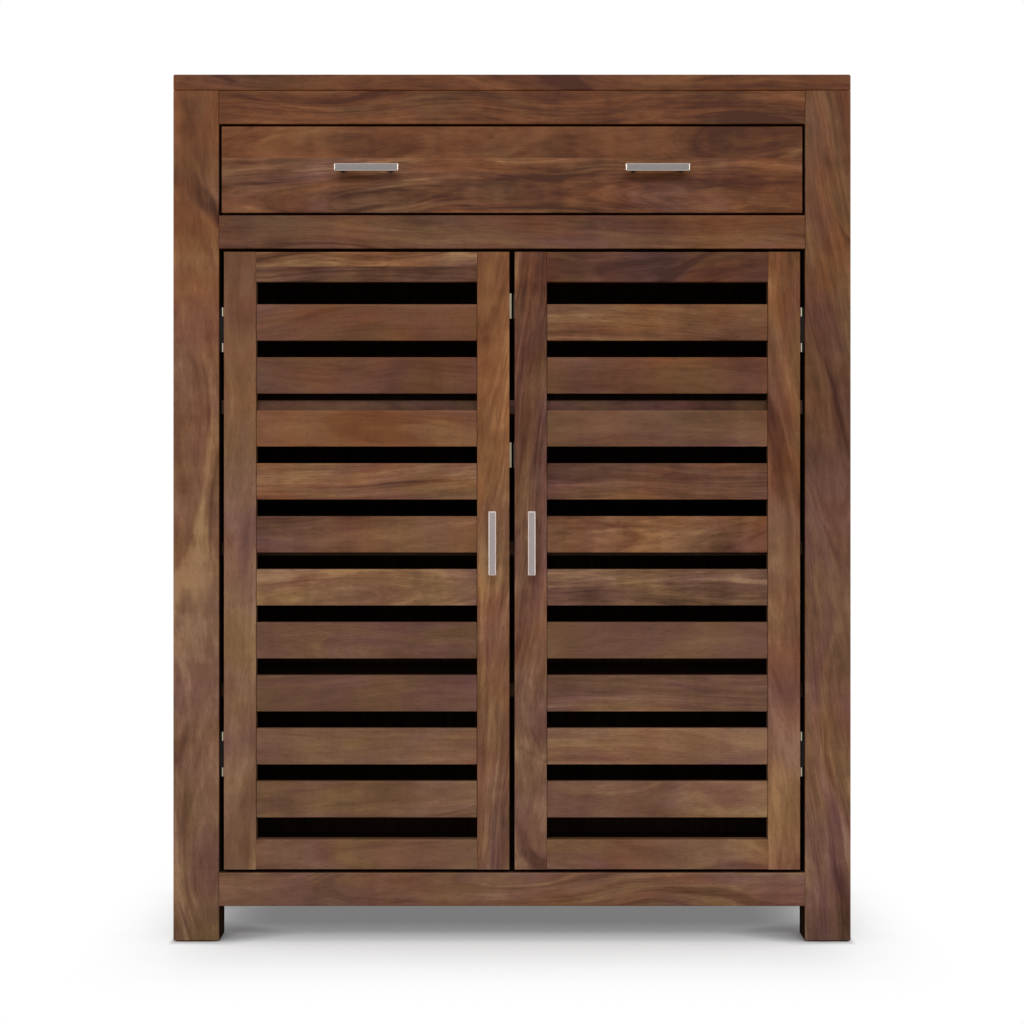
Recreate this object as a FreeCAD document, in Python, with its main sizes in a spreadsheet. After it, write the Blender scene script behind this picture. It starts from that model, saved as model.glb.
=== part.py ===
import FreeCAD, Part
import os
import Sketcher

# A louvred cupboard on four square legs: one wide inset drawer over a pair of inset doors, each door a
# frame of two stiles and two rails that holds a ladder of flat, upright slats.
# Millimetres. +Z is up, the doors face -Y, and the origin is the middle of the footprint on the floor,
# measured over the carcass and the pulls.

# Driving dimensions. Each is set by itself; everything else is worked out from them.
SIZES = {
    # carcass
    "width": 914,              # over the posts
    "depth": 400,              # front face of the posts to their back face
    "height": 1170,            # floor to the top of the top board
    "top_thick": 22,           # top board
    "post_side": 62,           # square corner posts that run down into the legs
    "rail_height": 45,         # every carcass rail
    "rail_thick": 26,
    "leg_clear": 48,           # floor to the underside of the bottom rails
    "drawer_opening": 123,     # height of the drawer's opening
    "side_setback": 4,         # side and back rails stand back from the faces of the posts
    "tenon_length": 30,        # carcass rails
    "tenon_thick": 10,
    "tenon_shoulder": 9,       # above and below each tenon
    "panel_thick": 8,          # side and back panels
    "groove_depth": 8,
    "panel_play": 1,           # panel edge to the bottom of its groove
    "arris": 1.5,              # rounding of the boards' long edges
    "post_arris": 2.5,         # rounding of the posts and the top board
    # boards inside
    "shelf_thick": 19,
    "shelf_play": 1,           # round a shelf, to posts and panels
    "door_stop_gap": 0.5,      # back of the doors to the front edge of the shelves
    "top_bay": 204,            # underside of the middle rail to the top of the upper shelf
    "shelf_pitch": 192,
    "floor_thick": 15,         # bottom board
    "floor_lap": 7,            # bottom board on the rebates of the front and back rails
    "cleat_side": 20,          # square battens under the shelves
    # drawer
    "drawer_gap": 3.2,         # round the drawer front
    "front_thick": 20,         # drawer front
    "stop_length": 28.7,       # blocks behind the drawer, on the runners
    "stop_side": 20,
    "drawer_side_thick": 12,
    "drawer_side_height": 112,
    "drawer_lap": 8,           # drawer side let into the end of the drawer front
    "drawer_rise": 0.3,        # drawer side above its runner
    "drawer_stop_gap": 0.3,    # back of the drawer to its stops
    "drawer_floor_thick": 6,
    "drawer_floor_up": 8,      # lower edge of a drawer side to its groove
    "drawer_groove": 5,
    "drawer_back_drop": 8,     # top of the drawer back below the top of the sides
    "runner_width": 30,
    "runner_thick": 20,
    # doors
    "door_thick": 20,
    "hinge_gap": 6.3,          # post to door
    "meeting_gap": 7,          # door to door
    "door_gap": 4.5,           # above and below the doors
    "stile_width": 43.5,
    "door_rail_height": 40.5,
    "door_tenon_length": 25,
    "door_tenon_thick": 8,
    "door_tenon_shoulder": 6,
    "slat_count": 10,
    "slat_height": 49.1,
    "slat_thick": 13,
    "slat_setback": 0.8,       # face of the slats behind the face of the stiles
    "slat_low_gap": 29.4,      # bottom rail of a door to its lowest slat
    "slat_high_gap": 30,       # top slat to the top rail
    "slat_tenon_length": 10,
    "slat_tenon_thick": 7,
    "slat_shoulder": 6,
    # pulls
    "pull_length": 86,
    "pull_width": 10.4,
    "pull_thick": 5,
    "pull_reach": 25,          # face of the wood to the face of the pull
    "pull_bevel": 1.6,
    "pull_centres": 64,        # screw to screw
    "pull_leg_radius": 4,
    "pull_thread_depth": 14,
    "drawer_pull_offset": 195.4,  # middle of the cabinet to the middle of a drawer pull
    "drawer_pull_rise": 0.7,   # middle of the drawer front to the pull
    "door_pull_rise": 24,      # middle of the door to the middle of its pull
    "door_pull_in": 22.9,      # closing edge of a door to the middle of its pull
    "bolt_radius": 2,
    "bolt_head_radius": 4,
    "bolt_head_height": 2.5,
    "bolt_play": 0.3,          # round a bolt in its hole
    # hinges and plates on the door edges
    "hinge_height": 60,
    "hinge_from_top": 105,     # top of the door to the middle of the upper hinge
    "hinge_from_bottom": 155.5,
    "pin_radius": 0.7,
    "pin_play": 0.05,
    "pin_from_post": 4.6,      # face of the post to the pin's axis
    "pin_setback": 2.4,        # face of the doors to the pin's axis
    "knuckle_radius": 1.45,    # end knuckles, on the door's leaf
    "middle_radius": 1.2,      # middle knuckle, on the post's leaf
    "end_knuckle": 12,
    "knuckle_gap": 0.4,
    "leaf_width": 16.5,
    "leaf_thick": 1.5,
    "leaf_clear": 0.5,         # edge of a leaf to the other leaf's knuckle
    "screw_pitch": 36,         # along a hinge leaf
    "screw_radius": 1.5,
    "screw_length": 16,
    "screw_head": 1.2,         # depth of the countersunk head
    "plate_height": 34,
    "plate_width": 12,
    "plate_thick": 2.8,        # on the left-hand door
    "strike_thick": 1.4,       # on the right-hand door
    "plate_from_top": 72.7,    # top of the door to the middle of the upper plate
    "plate_pitch": 201.2,
    "plate_screw_pitch": 20,
    # feet
    "glide_height": 2,
    "glide_radius": 6,
    "glide_stem_radius": 2,
    "glide_stem_length": 14,
}

doc = FreeCAD.newDocument("LouvredCabinet")
sheet = doc.addObject("Spreadsheet::Sheet", "Sizes")
for row, (alias, millimetres) in enumerate(SIZES.items(), 1):
    sheet.set(f"A{row}", alias)
    sheet.set(f"B{row}", str(millimetres))
    sheet.setAlias(f"B{row}", alias)
doc.recompute()

# Places that several pieces share, as expressions on the sheet.
FRONT = "((Sizes.pull_reach - Sizes.depth) / 2)"
OUTER = "(Sizes.width / 2)"
OPENING = "(Sizes.width - 2 * Sizes.post_side)"
JAMB = f"({OPENING} / 2)"
SIDE_SPAN = "(Sizes.depth - 2 * Sizes.post_side)"
PANEL_IN = "(Sizes.side_setback + (Sizes.rail_thick - Sizes.panel_thick) / 2)"
PANEL_FACE = f"({PANEL_IN} + Sizes.panel_thick)"
TENON_IN = "((Sizes.rail_thick - Sizes.tenon_thick) / 2)"
TENON_HEIGHT = "(Sizes.rail_height - 2 * Sizes.tenon_shoulder)"
POST_TOP = "(Sizes.height - Sizes.top_thick)"
TOP_RAIL = f"({POST_TOP} - Sizes.rail_height)"
DRAWER_FLOOR = f"({TOP_RAIL} - Sizes.drawer_opening)"
MIDDLE_RAIL = f"({DRAWER_FLOOR} - Sizes.rail_height)"
BOTTOM_RAIL = "Sizes.leg_clear"
DOOR_SILL = f"({BOTTOM_RAIL} + Sizes.rail_height)"
BACK_DEPTH = f"(Sizes.depth - {PANEL_FACE})"
DRAWER_LENGTH = f"({BACK_DEPTH} - Sizes.stop_length - Sizes.drawer_stop_gap)"
BACK_RAIL = "(Sizes.depth - Sizes.side_setback - Sizes.rail_thick)"
UPPER_SHELF = f"({MIDDLE_RAIL} - Sizes.top_bay - Sizes.shelf_thick)"

DOOR_WIDTH = f"({JAMB} - Sizes.hinge_gap - Sizes.meeting_gap / 2)"
DOOR_HEIGHT = f"({MIDDLE_RAIL} - {DOOR_SILL} - 2 * Sizes.door_gap)"
DOOR_BASE = f"({DOOR_SILL} + Sizes.door_gap)"
DOOR_OUTER = f"({JAMB} - Sizes.hinge_gap)"
DOOR_INNER = "(Sizes.meeting_gap / 2)"
LADDER_WIDTH = f"({DOOR_WIDTH} - 2 * Sizes.stile_width)"
LADDER_HEIGHT = f"({DOOR_HEIGHT} - 2 * Sizes.door_rail_height)"
LADDER_X = f"(-({DOOR_OUTER} + {DOOR_INNER}) / 2)"
SLAT_FIRST = "(Sizes.door_rail_height + Sizes.slat_low_gap)"
SLAT_SPAN = f"({LADDER_HEIGHT} - Sizes.slat_low_gap - Sizes.slat_high_gap - Sizes.slat_height)"
SLAT_PITCH = f"({SLAT_SPAN} / (Sizes.slat_count - 1))"
SLAT_TENON_IN = "(Sizes.slat_setback + (Sizes.slat_thick - Sizes.slat_tenon_thick) / 2)"
SLAT_TENON_HEIGHT = "(Sizes.slat_height - 2 * Sizes.slat_shoulder)"
DOOR_TENON_IN = "((Sizes.door_thick - Sizes.door_tenon_thick) / 2)"
DOOR_TENON_HEIGHT = "(Sizes.door_rail_height - 2 * Sizes.door_tenon_shoulder)"

HINGE_LOW = "(Sizes.hinge_from_bottom - Sizes.hinge_height / 2)"
HINGE_PITCH = f"({DOOR_HEIGHT} - Sizes.hinge_from_top - Sizes.hinge_from_bottom)"
PIN_X = f"(Sizes.pin_from_post - {JAMB})"
PIN_Y = f"({FRONT} + Sizes.pin_setback)"
LEAF_EDGE = "(Sizes.knuckle_radius + Sizes.leaf_clear)"
LEAF_SCREW = f"(({LEAF_EDGE} + Sizes.leaf_width) / 2)"
SCREW_LOW = "((Sizes.hinge_height - Sizes.screw_pitch) / 2)"
DOOR_LEAF_X = "(Sizes.hinge_gap - Sizes.pin_from_post)"
MIDDLE_KNUCKLE = "(Sizes.hinge_height - 2 * Sizes.end_knuckle - 2 * Sizes.knuckle_gap)"

PLATE_TOP = f"({DOOR_HEIGHT} - Sizes.plate_from_top)"
PLATE_LOW = f"({PLATE_TOP} - Sizes.plate_pitch)"
PULL_Z = f"({DOOR_HEIGHT} / 2 + Sizes.door_pull_rise)"
FRONT_HEIGHT = "(Sizes.drawer_opening - 2 * Sizes.drawer_gap)"
DRAWER_HALF = f"({JAMB} - Sizes.drawer_gap)"
DRAWER_BASE = f"({DRAWER_FLOOR} + Sizes.drawer_rise)"
FLOOR_SLOT = f"({DRAWER_BASE} + Sizes.drawer_floor_up)"
BOLT_LENGTH = "(Sizes.pull_thread_depth - Sizes.bolt_play)"

X_AXIS = FreeCAD.Vector(1, 0, 0)
Y_AXIS = FreeCAD.Vector(0, 1, 0)
Z_AXIS = FreeCAD.Vector(0, 0, 1)
ORIGIN = (-1, 1)


def number(expression):
    """Value of an expression on the sheet, to draw a sketch where it will be held."""
    return float(sheet.evalExpression(expression))


class Piece:
    """A body placed by three expressions, and the few operations that a joiner or a fitter uses on it."""

    def __init__(self, label, x, y, z):
        self.body = doc.addObject("PartDesign::Body", label)
        self.body.Label = label
        self.body.AllowCompound = True
        for axis, place in zip("xyz", (x, y, z)):
            self.body.setExpression(f"Placement.Base.{axis}", place)

    def origin(self, role):
        """The body's own plane or axis of that role."""
        return next(part for part in self.body.Origin.OriginFeatures if part.Role == role)

    def sketch(self, role, lift="0"):
        """An empty sketch on one of the body's planes, lifted along the positive axis across it."""
        sketch = self.body.newObject("Sketcher::SketchObject", "Sketch")
        sketch.AttachmentSupport = [(self.origin(role), "")]
        sketch.MapMode = "FlatFace"
        sign = "-" if role == "XZ_Plane" else ""
        sketch.setExpression("AttachmentOffset.Base.z", f"{sign}({lift})")
        return sketch

    def outline(self, role, points, lift="0"):
        """A closed outline of straight lines whose corners are held by expressions."""
        sketch = self.sketch(role, lift)
        places = [FreeCAD.Vector(number(across), number(up), 0) for across, up in points]
        for index, place in enumerate(places):
            sketch.addGeometry(Part.LineSegment(place, places[(index + 1) % len(places)]), False)
        for index, (across, up) in enumerate(points):
            following = (index + 1) % len(points)
            sketch.addConstraint(Sketcher.Constraint("Coincident", index, 2, following, 1))
            hold(sketch, "DistanceX", (*ORIGIN, index, 1), across)
            hold(sketch, "DistanceY", (*ORIGIN, index, 1), up)
        return sketch

    def rectangles(self, role, boxes, lift="0"):
        """Rectangles given as (left, bottom, width, height)."""
        sketch = self.sketch(role, lift)
        for left, bottom, width, height in boxes:
            draw_rectangle(sketch, left, bottom, width, height)
        return sketch

    def circles(self, role, centres, radius, lift="0"):
        """Equal circles at the given centres."""
        sketch = self.sketch(role, lift)
        for across, up in centres:
            index = sketch.GeometryCount
            middle = FreeCAD.Vector(number(across), number(up), 0)
            sketch.addGeometry(Part.Circle(middle, Z_AXIS, number(radius)), False)
            hold(sketch, "DistanceX", (*ORIGIN, index, 3), across)
            hold(sketch, "DistanceY", (*ORIGIN, index, 3), up)
            hold(sketch, "Radius", (index,), radius)
        return sketch

    def pad(self, sketch, length, both_ways=False):
        """Wood or metal along the positive axis across the sketch, or half of it to each side."""
        pad = self.body.newObject("PartDesign::Pad", "Pad")
        pad.Profile = sketch
        pad.setExpression("Length", length)
        if both_ways:
            pad.SideType = "Symmetric"
        else:
            pad.Reversed = sketch.AttachmentSupport[0][0].Role == "XZ_Plane"
        return pad

    def cut(self, sketch, depth):
        """A recess of that depth on the solid's side of the sketch: it is cut to both sides of its plane."""
        doc.recompute()
        before = self.body.Shape.Volume
        pocket = self.body.newObject("PartDesign::Pocket", "Pocket")
        pocket.Profile = sketch
        pocket.SideType = "Symmetric"
        pocket.setExpression("Length", f"2 * {depth}")
        doc.recompute()
        assert self.body.Shape.Volume < before, f"{self.body.Label}: a recess cuts nothing"
        return pocket

    def turn(self, sketch):
        """A solid of revolution about the sketch's horizontal axis."""
        revolution = self.body.newObject("PartDesign::Revolution", "Revolution")
        revolution.Profile = sketch
        revolution.ReferenceAxis = (sketch, ["H_Axis"])
        revolution.Angle = 360
        return revolution

    def round_edges(self, radius, wanted):
        """Fillet on the edges that the test picks."""
        self.dress("PartDesign::Fillet", "Radius", radius, wanted)

    def bevel_edges(self, size, wanted):
        """Equal chamfer on the edges that the test picks."""
        self.dress("PartDesign::Chamfer", "Size", size, wanted)

    def dress(self, kind, property_name, size, wanted):
        """Adds a fillet or a chamfer to the edges that the test picks."""
        doc.recompute()
        base = self.body.Tip
        edges = [f"Edge{index}" for index, edge in enumerate(base.Shape.Edges, 1) if wanted(edge)]
        assert edges, f"{self.body.Label}: no edge to dress"
        dressing = self.body.newObject(kind, "Dressing")
        dressing.Base = (base, edges)
        dressing.setExpression(property_name, size)

    def repeat(self, axis, pitch, count, features=None):
        """Copies of the whole piece, or of the given features, along one axis."""
        doc.recompute()
        pattern = self.body.newObject("PartDesign::LinearPattern", "Pattern")
        if features:
            pattern.Originals = features
        else:
            pattern.TransformMode = "Whole shape"
        pattern.Direction = (self.origin(axis), [""])
        pattern.Mode = "Spacing"
        pattern.setExpression("Offset", pitch)
        pattern.setExpression("Occurrences", count)
        self.body.Tip = pattern


def hold(sketch, kind, where, expression):
    """A dimension of a sketch that follows an expression."""
    index = sketch.addConstraint(Sketcher.Constraint(kind, *where, number(expression)))
    sketch.setExpression(f"Constraints[{index}]", expression)


def draw_rectangle(sketch, left, bottom, width, height):
    """Four lines, held square, in place and to size."""
    low = FreeCAD.Vector(number(left), number(bottom), 0)
    high = low + FreeCAD.Vector(number(width), number(height), 0)
    right_foot = FreeCAD.Vector(high.x, low.y, 0)
    left_head = FreeCAD.Vector(low.x, high.y, 0)
    corners = [low, right_foot, high, left_head]
    first = sketch.GeometryCount
    for step in range(4):
        sketch.addGeometry(Part.LineSegment(corners[step], corners[(step + 1) % 4]), False)
    for step in range(4):
        following = first + (step + 1) % 4
        sketch.addConstraint(Sketcher.Constraint("Coincident", first + step, 2, following, 1))
        direction = "Vertical" if step % 2 else "Horizontal"
        sketch.addConstraint(Sketcher.Constraint(direction, first + step))
    hold(sketch, "DistanceX", (*ORIGIN, first, 1), left)
    hold(sketch, "DistanceY", (*ORIGIN, first, 1), bottom)
    hold(sketch, "DistanceX", (first, 1, first, 2), width)
    hold(sketch, "DistanceY", (first + 1, 1, first + 1, 2), height)


def along(axis):
    """Test for straight edges along an axis."""

    def wanted(edge):
        if edge.Curve.TypeId != "Part::GeomLine":
            return False
        return abs(edge.tangentAt(edge.FirstParameter).dot(axis)) > 0.999

    return wanted


def on_face(axis, place):
    """Test for edges that lie in the plane across an axis at that place."""

    def wanted(edge):
        level = number(place)
        return all(abs(vertex.Point.dot(axis) - level) < 0.001 for vertex in edge.Vertexes)

    return wanted


def both(first, second):
    """Test for edges that pass two tests."""
    return lambda edge: first(edge) and second(edge)


def circle_of(radius):
    """Test for round edges of one radius."""

    def wanted(edge):
        return edge.Curve.TypeId == "Part::GeomCircle" and abs(edge.Curve.Radius - number(radius)) < 0.001

    return wanted


def circle_on(radius, axis, place):
    """Test for round edges of one radius in the plane across an axis at that place."""
    round_edge = circle_of(radius)

    def wanted(edge):
        return round_edge(edge) and abs(edge.Curve.Center.dot(axis) - number(place)) < 0.001

    return wanted


parts = []


def keep(piece):
    """Adds a finished piece to the parts that are written."""
    thing = piece.body if isinstance(piece, Piece) else piece
    parts.append(thing)
    return thing


def mirror(source, label):
    """The right-hand twin of a left-hand piece."""
    twin = doc.addObject("Part::Mirroring", label)
    twin.Label = label
    twin.Source = source
    twin.Base = FreeCAD.Vector(0, 0, 0)
    twin.Normal = X_AXIS
    return twin


def group(label, sources):
    """Identical small pieces that share one node, each still its own solid."""
    compound = doc.addObject("Part::Compound", label)
    compound.Label = label
    compound.Links = sources
    return compound


def keep_pair(piece, right_label):
    """Keeps a left-hand piece and its right-hand twin."""
    left = keep(piece)
    keep(mirror(left, right_label))


# ---- carcass ------------------------------------------------------------------------------------

def corner_post(label, front):
    """A left-hand post, drawn from its inner corner: mortises for the rails, grooves for the panels."""
    place_y = f"({FRONT} + Sizes.post_side)" if front else f"({FRONT} + Sizes.depth - Sizes.post_side)"
    post = Piece(label, f"-{JAMB}", place_y, "Sizes.glide_height")
    near = "-Sizes.post_side" if front else "0"
    post.pad(
        post.rectangles("XY_Plane", [("-Sizes.post_side", near, "Sizes.post_side", "Sizes.post_side")]),
        f"({POST_TOP} - Sizes.glide_height)",
    )
    post.round_edges("Sizes.post_arris", along(Z_AXIS))

    if front:
        rails = [TOP_RAIL, MIDDLE_RAIL, BOTTOM_RAIL]
        tenon = f"(-Sizes.post_side + {TENON_IN})"
    else:
        rails = [TOP_RAIL, BOTTOM_RAIL]
        tenon = f"(Sizes.post_side - Sizes.side_setback - {TENON_IN} - Sizes.tenon_thick)"
    across = [(tenon, tenon_base(rail), "Sizes.tenon_thick", TENON_HEIGHT) for rail in rails]
    post.cut(post.rectangles("YZ_Plane", across), "Sizes.tenon_length")

    side_tenon = f"(-Sizes.post_side + Sizes.side_setback + {TENON_IN})"
    along_side = [(side_tenon, tenon_base(rail), "Sizes.tenon_thick", TENON_HEIGHT)
                  for rail in (TOP_RAIL, BOTTOM_RAIL)]
    post.cut(post.rectangles("XZ_Plane", along_side), "Sizes.tenon_length")

    groove_base = f"({DOOR_SILL} - Sizes.glide_height - Sizes.groove_depth)"
    groove_height = f"({TOP_RAIL} - {DOOR_SILL} + 2 * Sizes.groove_depth)"
    side_groove = (f"({PANEL_IN} - Sizes.post_side)", groove_base, "Sizes.panel_thick", groove_height)
    post.cut(post.rectangles("XZ_Plane", [side_groove]), "Sizes.groove_depth")
    if not front:
        back_groove = (f"(Sizes.post_side - {PANEL_FACE})", groove_base, "Sizes.panel_thick", groove_height)
        post.cut(post.rectangles("YZ_Plane", [back_groove]), "Sizes.groove_depth")

    stem = [("-Sizes.post_side / 2", "-Sizes.post_side / 2" if front else "Sizes.post_side / 2")]
    post.cut(post.circles("XY_Plane", stem, "Sizes.glide_stem_radius"), "Sizes.glide_stem_length")
    if front:
        reach = f"(Sizes.pin_setback + {LEAF_SCREW} - Sizes.post_side)"
        base = f"({DOOR_BASE} - Sizes.glide_height + {HINGE_LOW} + {SCREW_LOW})"
        post.cut(post.circles("YZ_Plane", screw_grid(reach, base), "Sizes.screw_radius"), pilot("leaf_thick"))
    return post


def tenon_base(rail):
    """Lower edge of a rail's tenon, above the foot of the post."""
    return f"({rail} + Sizes.tenon_shoulder - Sizes.glide_height)"


def screw_grid(across, base):
    """The four screws of the two hinge leaves on one edge."""
    steps = ["0", "Sizes.screw_pitch", HINGE_PITCH, f"({HINGE_PITCH} + Sizes.screw_pitch)"]
    return [(across, f"({base} + {step})") for step in steps]


def pilot(plate):
    """Depth of the wood screws below a plate of that thickness."""
    return f"(Sizes.screw_length - Sizes.{plate})"


def cross_rail(label, y, z):
    """A rail between the posts, with a tenon at each end."""
    rail = Piece(label, "0", y, z)
    section = [("0", "0", "Sizes.rail_thick", "Sizes.rail_height")]
    rail.pad(rail.rectangles("YZ_Plane", section), OPENING, both_ways=True)
    rail.round_edges("Sizes.arris", both(along(X_AXIS), on_face(Y_AXIS, "0")))
    tenon = [(TENON_IN, "Sizes.tenon_shoulder", "Sizes.tenon_thick", TENON_HEIGHT)]
    rail.pad(rail.rectangles("YZ_Plane", tenon), f"({OPENING} + 2 * Sizes.tenon_length)", both_ways=True)
    return rail


def front_rail(label, z):
    """A rail flush with the face of the front posts."""
    return cross_rail(label, FRONT, z)


def back_rail(label, z, groove_level):
    """A rail of the back frame, grooved for the back panel on its inner edge."""
    rail = cross_rail(label, f"({FRONT} + {BACK_RAIL})", z)
    panel = [(f"-{JAMB}", "(Sizes.rail_thick - Sizes.panel_thick) / 2", OPENING, "Sizes.panel_thick")]
    rail.cut(rail.rectangles("XY_Plane", panel, groove_level), "Sizes.groove_depth")
    return rail


def side_rail(label, z, groove_level):
    """A left-hand rail from front post to back post, grooved for the side panel."""
    rail = Piece(label, f"(Sizes.side_setback - {OUTER})", f"({FRONT} + Sizes.depth / 2)", z)
    section = [("0", "0", "Sizes.rail_thick", "Sizes.rail_height")]
    rail.pad(rail.rectangles("XZ_Plane", section), SIDE_SPAN, both_ways=True)
    rail.round_edges("Sizes.arris", both(along(Y_AXIS), on_face(X_AXIS, "0")))
    tenon = [(TENON_IN, "Sizes.tenon_shoulder", "Sizes.tenon_thick", TENON_HEIGHT)]
    rail.pad(rail.rectangles("XZ_Plane", tenon), f"({SIDE_SPAN} + 2 * Sizes.tenon_length)", both_ways=True)
    panel_in = "(Sizes.rail_thick - Sizes.panel_thick) / 2"
    panel = [(panel_in, f"-{SIDE_SPAN} / 2", "Sizes.panel_thick", SIDE_SPAN)]
    rail.cut(rail.rectangles("XY_Plane", panel, groove_level), "Sizes.groove_depth")
    return rail


def side_panel(label):
    """The left-hand panel, held in the grooves of two posts and two rails."""
    panel = Piece(label, f"({PANEL_IN} - {OUTER})", f"({FRONT} + Sizes.depth / 2)", DOOR_SILL)
    lap = "(Sizes.groove_depth - Sizes.panel_play)"
    face = [(f"(-{SIDE_SPAN} / 2 - {lap})", f"-{lap}",
             f"({SIDE_SPAN} + 2 * {lap})", f"({TOP_RAIL} - {DOOR_SILL} + 2 * {lap})")]
    panel.pad(panel.rectangles("YZ_Plane", face), "Sizes.panel_thick")
    return panel


def back_panel(label):
    """The back panel, held in the grooves of the back posts and rails."""
    panel = Piece(label, "0", f"({FRONT} + Sizes.depth - {PANEL_FACE})", DOOR_SILL)
    lap = "(Sizes.groove_depth - Sizes.panel_play)"
    face = [(f"(-{JAMB} - {lap})", f"-{lap}",
             f"({OPENING} + 2 * {lap})", f"({TOP_RAIL} - {DOOR_SILL} + 2 * {lap})")]
    panel.pad(panel.rectangles("XZ_Plane", face), "Sizes.panel_thick")
    return panel


def top_board(label):
    """The top, flush with the posts on every side."""
    top = Piece(label, "0", FRONT, POST_TOP)
    top.pad(top.rectangles("XY_Plane", [(f"-{OUTER}", "0", "Sizes.width", "Sizes.depth")]), "Sizes.top_thick")
    top.round_edges("Sizes.post_arris", lambda edge: True)
    return top


def shelf(label, z):
    """A shelf from panel to panel, notched round the four posts; its front edge stops the doors."""
    board = Piece(label, "0", FRONT, z)
    half = f"({OUTER} - {PANEL_FACE} - Sizes.shelf_play)"
    near = "(Sizes.door_thick + Sizes.door_stop_gap)"
    far = f"({BACK_DEPTH} - Sizes.shelf_play)"
    whole = [(f"-{half}", near, f"2 * {half}", f"({far} - {near})")]
    board.pad(board.rectangles("XY_Plane", whole), "Sizes.shelf_thick")
    board.cut(board.rectangles("XY_Plane", notches(half)), "Sizes.shelf_thick")
    board.round_edges("Sizes.arris", both(along(X_AXIS), on_face(Y_AXIS, near)))
    return board


def notches(half):
    """Four corners that a board leaves to the posts; half is half of the board's width."""
    jamb = f"({JAMB} - Sizes.shelf_play)"
    width = f"({half} - {jamb} + Sizes.shelf_play)"
    length = "(Sizes.post_side + Sizes.shelf_play)"
    back = "(Sizes.depth - Sizes.post_side - Sizes.shelf_play)"
    return [(x, y, width, length) for x in (f"(-{jamb} - {width})", jamb) for y in ("0", back)]


def bottom_board(label):
    """The cupboard's floor, level with the bottom rails and notched round the posts."""
    board = Piece(label, "0", FRONT, f"({DOOR_SILL} - Sizes.floor_thick)")
    half = f"({OUTER} - Sizes.side_setback - Sizes.rail_thick)"
    near = "(Sizes.rail_thick - Sizes.floor_lap)"
    far = f"({BACK_RAIL} + Sizes.floor_lap)"
    whole = [(f"-{half}", near, f"2 * {half}", f"({far} - {near})")]
    board.pad(board.rectangles("XY_Plane", whole), "Sizes.floor_thick")
    board.cut(board.rectangles("XY_Plane", notches(half)), "Sizes.floor_thick")
    return board


def cut_floor_rebate(rail, face):
    """A rebate along a bottom rail's inner face that the bottom board lies in."""
    base = "(Sizes.rail_height - Sizes.floor_thick)"
    rebate = [(f"-{JAMB}", base, OPENING, "Sizes.floor_thick")]
    rail.cut(rail.rectangles("XZ_Plane", rebate, face), "Sizes.floor_lap")
    return rail


def shelf_cleats(label):
    """Three square battens on the left-hand panel, one under each shelf."""
    lowest = f"({UPPER_SHELF} - 2 * Sizes.shelf_pitch - Sizes.cleat_side)"
    cleats = Piece(label, f"({PANEL_FACE} - {OUTER})", f"({FRONT} + Sizes.depth / 2)", lowest)
    section = [("0", "0", "Sizes.cleat_side", "Sizes.cleat_side")]
    cleats.pad(cleats.rectangles("XZ_Plane", section), SIDE_SPAN, both_ways=True)
    cleats.repeat("Z_Axis", "Sizes.shelf_pitch", "3")
    return cleats


def guide_bar(label, z, far):
    """A bar along the posts, above or below the drawer sides; far is its back end from the front."""
    bar = Piece(label, f"-{JAMB}", f"({FRONT} + Sizes.rail_thick)", z)
    section = [("0", "0", "Sizes.runner_width", "Sizes.runner_thick")]
    bar.pad(bar.rectangles("XZ_Plane", section), f"({far} - Sizes.rail_thick)")
    return bar


def drawer_stop(label):
    """A block on the left-hand runner that the drawer's side meets when it is shut."""
    stop = Piece(label, f"-{JAMB}", f"({FRONT} + {BACK_DEPTH} - Sizes.stop_length)", DRAWER_FLOOR)
    foot = [("0", "0", "Sizes.stop_side", "Sizes.stop_length")]
    stop.pad(stop.rectangles("XY_Plane", foot), "Sizes.stop_side")
    return stop.body


def floor_glide(label, y):
    """A round glide under the left-hand post, its stem driven up into the wood."""
    glide = Piece(label, f"(Sizes.post_side / 2 - {OUTER})", y, "0")
    disc = glide.circles("XY_Plane", [("0", "0")], "Sizes.glide_radius")
    glide.pad(disc, "Sizes.glide_height")
    stem = glide.circles("XY_Plane", [("0", "0")], "Sizes.glide_stem_radius")
    glide.pad(stem, "(Sizes.glide_height + Sizes.glide_stem_length)")
    glide.round_edges("Sizes.glide_height / 2", circle_on("Sizes.glide_radius", Z_AXIS, "0"))
    return glide.body


for label, front in (("front_left_post", True), ("rear_left_post", False)):
    keep_pair(corner_post(label, front), label.replace("left", "right"))
keep(top_board("top_board"))
keep(front_rail("front_top_rail", TOP_RAIL))
keep(front_rail("front_middle_rail", MIDDLE_RAIL))
keep(cut_floor_rebate(front_rail("front_bottom_rail", BOTTOM_RAIL), "Sizes.rail_thick"))
keep(back_rail("rear_top_rail", TOP_RAIL, "0"))
keep(cut_floor_rebate(back_rail("rear_bottom_rail", BOTTOM_RAIL, "Sizes.rail_height"), "0"))
keep_pair(side_rail("left_top_rail", TOP_RAIL, "0"), "right_top_rail")
keep_pair(side_rail("left_bottom_rail", BOTTOM_RAIL, "Sizes.rail_height"), "right_bottom_rail")
keep_pair(side_panel("left_side_panel"), "right_side_panel")
keep(back_panel("back_panel"))
keep(bottom_board("bottom_board"))
for step, label in enumerate(("upper_shelf", "middle_shelf", "lower_shelf")):
    keep(shelf(label, f"({UPPER_SHELF} - {step} * Sizes.shelf_pitch)"))
keep_pair(shelf_cleats("left_shelf_cleats"), "right_shelf_cleats")
keep_pair(guide_bar("left_drawer_runner", f"({DRAWER_FLOOR} - Sizes.runner_thick)", BACK_DEPTH),
          "right_drawer_runner")
left_stop = drawer_stop("left_drawer_stop")
keep(group("drawer_stops", [left_stop, mirror(left_stop, "right_drawer_stop")]))
left_kicker = guide_bar("left_kicker", TOP_RAIL, BACK_RAIL).body
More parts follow.
